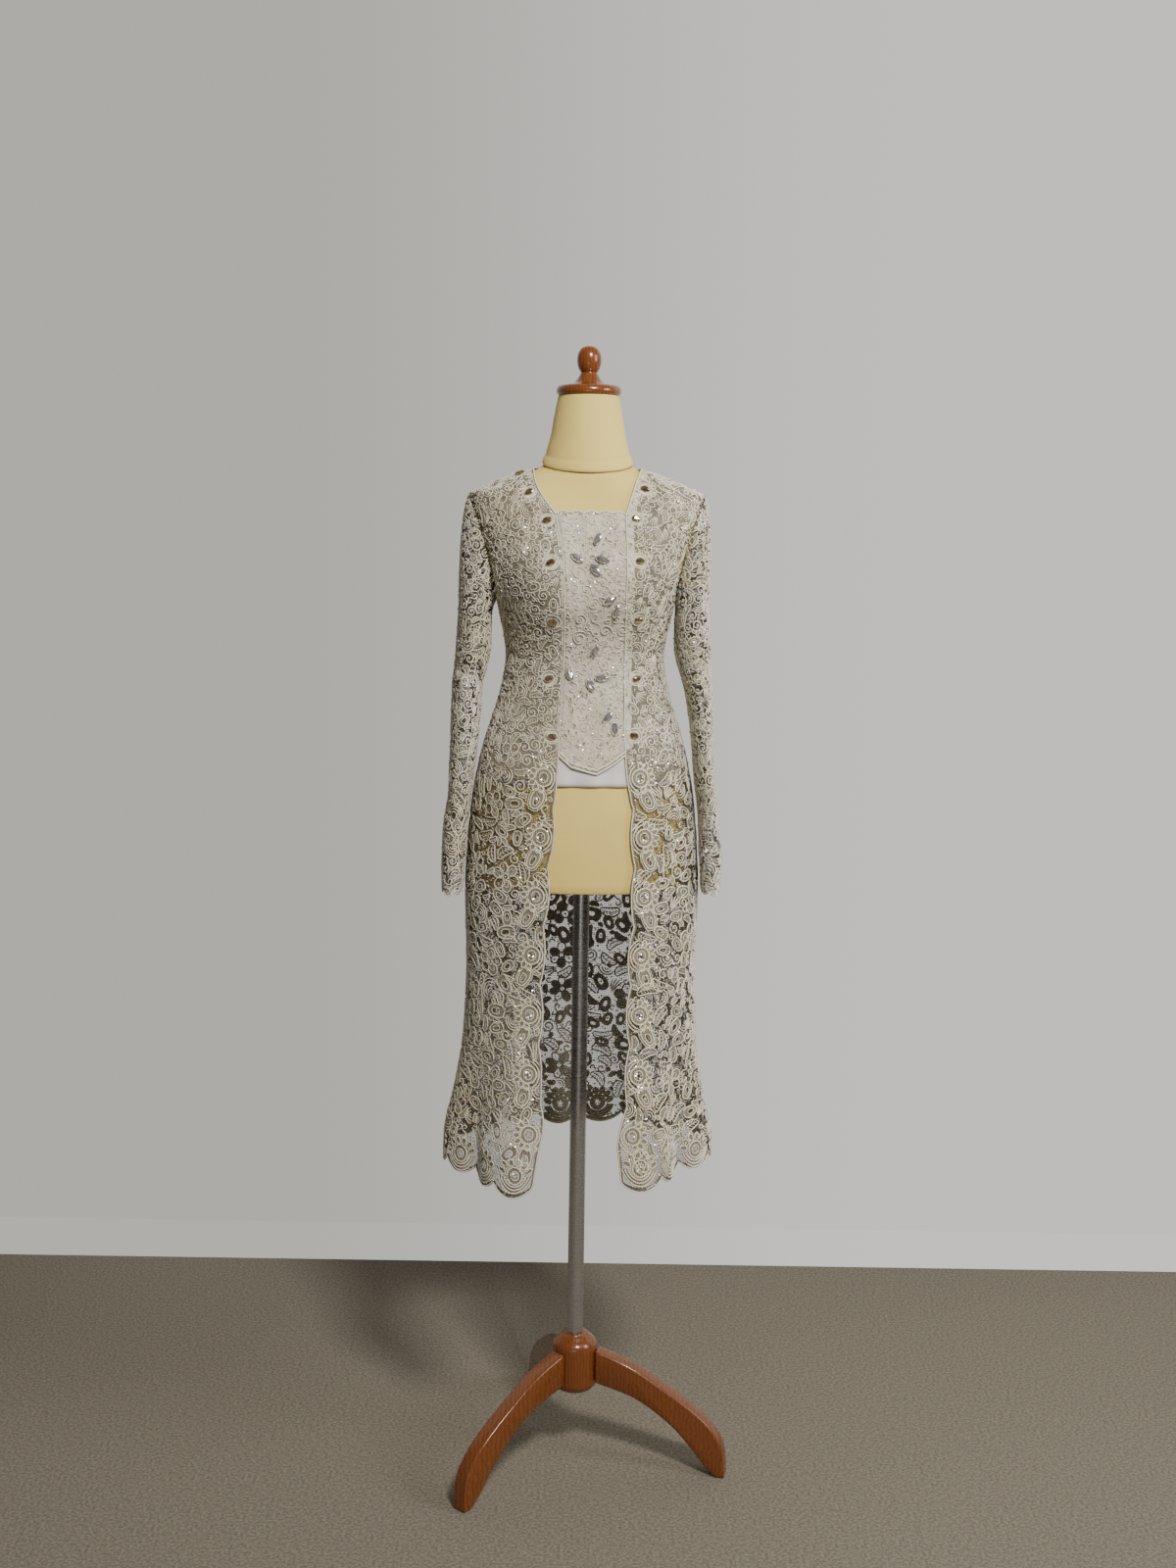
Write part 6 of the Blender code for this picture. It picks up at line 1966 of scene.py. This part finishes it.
# Glow of the far screen and its skirting: painted light, dimmer to the left and brighter to the right.
BACKDROP_LEFT, BACKDROP_RIGHT = (0.53, 0.515, 0.475), (0.81, 0.79, 0.75)
BOARD_LEFT, BOARD_RIGHT = (0.57, 0.555, 0.515), (0.85, 0.83, 0.79)
BACKDROP_REACH = 1.6


def stage_material(name, colour, scale, spread):
    """Matt paint or carpet, a little uneven."""
    material, tree, shader = new_material(name, colour, 0.95)
    where = add_node(tree, "ShaderNodeTexCoord").outputs["Object"]
    grain = ramp(tree, noise(tree, where, scale, 4.0).outputs["Fac"], 0.35, 0.65)
    lighter = tuple(min(1.0, c * spread) for c in colour)
    tree.links.new(mix_colour(tree, grain, (*colour, 1.0), (*lighter, 1.0)), shader.inputs["Base Color"])
    return material


def backdrop_material(name, left, right, reach):
    """Pale screen that glows with painted light, brighter to the right as if lit from that side."""
    material = bpy.data.materials.new(name)
    material.use_nodes = True
    tree = material.node_tree
    tree.nodes.clear()
    where = add_node(tree, "ShaderNodeTexCoord").outputs["Object"]
    across = add_node(tree, "ShaderNodeSeparateXYZ", {"Vector": where}).outputs["X"]
    tone = mix_colour(tree, ramp(tree, across, -reach, reach), (*left, 1.0), (*right, 1.0))
    glow = add_node(tree, "ShaderNodeEmission", {"Color": tone})
    end = add_node(tree, "ShaderNodeOutputMaterial")
    tree.links.new(glow.outputs["Emission"], end.inputs["Surface"])
    return material


def strip(name, rows, half, material):
    """Plain stage piece through rows of (y, z), as wide as twice the half."""
    verts = np.array([(x, y, z) for y, z in rows for x in (-half, half)])
    quads = np.array([(2 * k, 2 * k + 1, 2 * k + 3, 2 * k + 2) for k in range(len(rows) - 1)])
    piece = make_mesh(name, verts, [quads], materials=(material,))
    return piece


def build_stage():
    """Carpet, a pale card that throws light on the back, and a far screen with its skirting, which glow
    with painted light.
    """
    card_y, far_y, board_top, half = 0.74, 6.0, 0.079, 5.0
    carpet = stage_material("carpet", FLOOR_COLOUR, 210.0, 1.75)
    strip("floor", [(-5.0, 0.0), (FLOOR_END, 0.0)], half, carpet)
    paint = stage_material("card_paint", WALL_COLOUR, 3.0, 1.035)
    card = strip("card", [(card_y, 0.0), (card_y, 4.5)], half, paint)
    card.visible_camera = False
    eye_y, eye_z = CAMERA_PLACE[1:]
    grow = (far_y - eye_y) / (FLOOR_END - eye_y)
    foot, top = (eye_z + (z - eye_z) * grow for z in (0.0, board_top))
    strip("skirting", [(far_y - 0.01, foot - 1.0), (far_y - 0.01, top)], 2 * half,
          backdrop_material("skirting_glow", BOARD_LEFT, BOARD_RIGHT, BACKDROP_REACH))
    strip("backdrop", [(far_y, foot - 1.0), (far_y, 9.0)], 2 * half,
          backdrop_material("backdrop_glow", BACKDROP_LEFT, BACKDROP_RIGHT, BACKDROP_REACH))


def add_light(name, place, target, size, power, colour):
    light = bpy.data.lights.new(name, "AREA")
    light.shape = "RECTANGLE"
    light.size, light.size_y = size
    light.energy = power
    light.color = colour
    holder = bpy.data.objects.new(name, light)
    holder.location = place
    aim = Vector(target) - Vector(place)
    holder.rotation_euler = aim.to_track_quat("-Z", "Y").to_euler()
    bpy.context.collection.objects.link(holder)


# Columns: name, place, target, size, power, colour
LIGHTS = (
    ("key", (0.80, -2.35, 3.15), (0.0, 0.0, 1.1), (0.50, 0.50), 112.0, (1.0, 0.975, 0.92)),
    ("window", (2.8, -1.1, 2.3), (0.0, 0.3, 1.2), (1.0, 1.4), 41.0, (0.98, 0.99, 1.0)),
    ("low", (-0.2, -3.1, 0.75), (0.0, 0.0, 0.75), (0.8, 0.5), 4.5, (1.0, 0.99, 0.97)),
)
AMBIENT_COLOUR, AMBIENT_STRENGTH = (1.0, 0.985, 0.95), 0.15


def build_lights():
    for row in LIGHTS:
        add_light(*row)
    world = bpy.data.worlds.new("studio")
    world.use_nodes = True
    background = world.node_tree.nodes["Background"]
    background.inputs["Color"].default_value = (*AMBIENT_COLOUR, 1.0)
    background.inputs["Strength"].default_value = AMBIENT_STRENGTH
    bpy.context.scene.world = world


def build_camera():
    camera = bpy.data.cameras.new("photo_view")
    camera.lens = CAMERA_LENS
    camera.sensor_width = 36.0
    holder = bpy.data.objects.new("photo_view", camera)
    holder.location = CAMERA_PLACE
    level = Euler((math.pi / 2 - CAMERA_PITCH, 0.0, 0.0)).to_matrix()
    roll = Euler((0.0, 0.0, CAMERA_ROLL)).to_matrix()
    holder.rotation_euler = (level @ roll).to_euler()
    bpy.context.collection.objects.link(holder)
    bpy.context.scene.camera = holder


build_camera()
build_part()
build_stage()
build_lights()
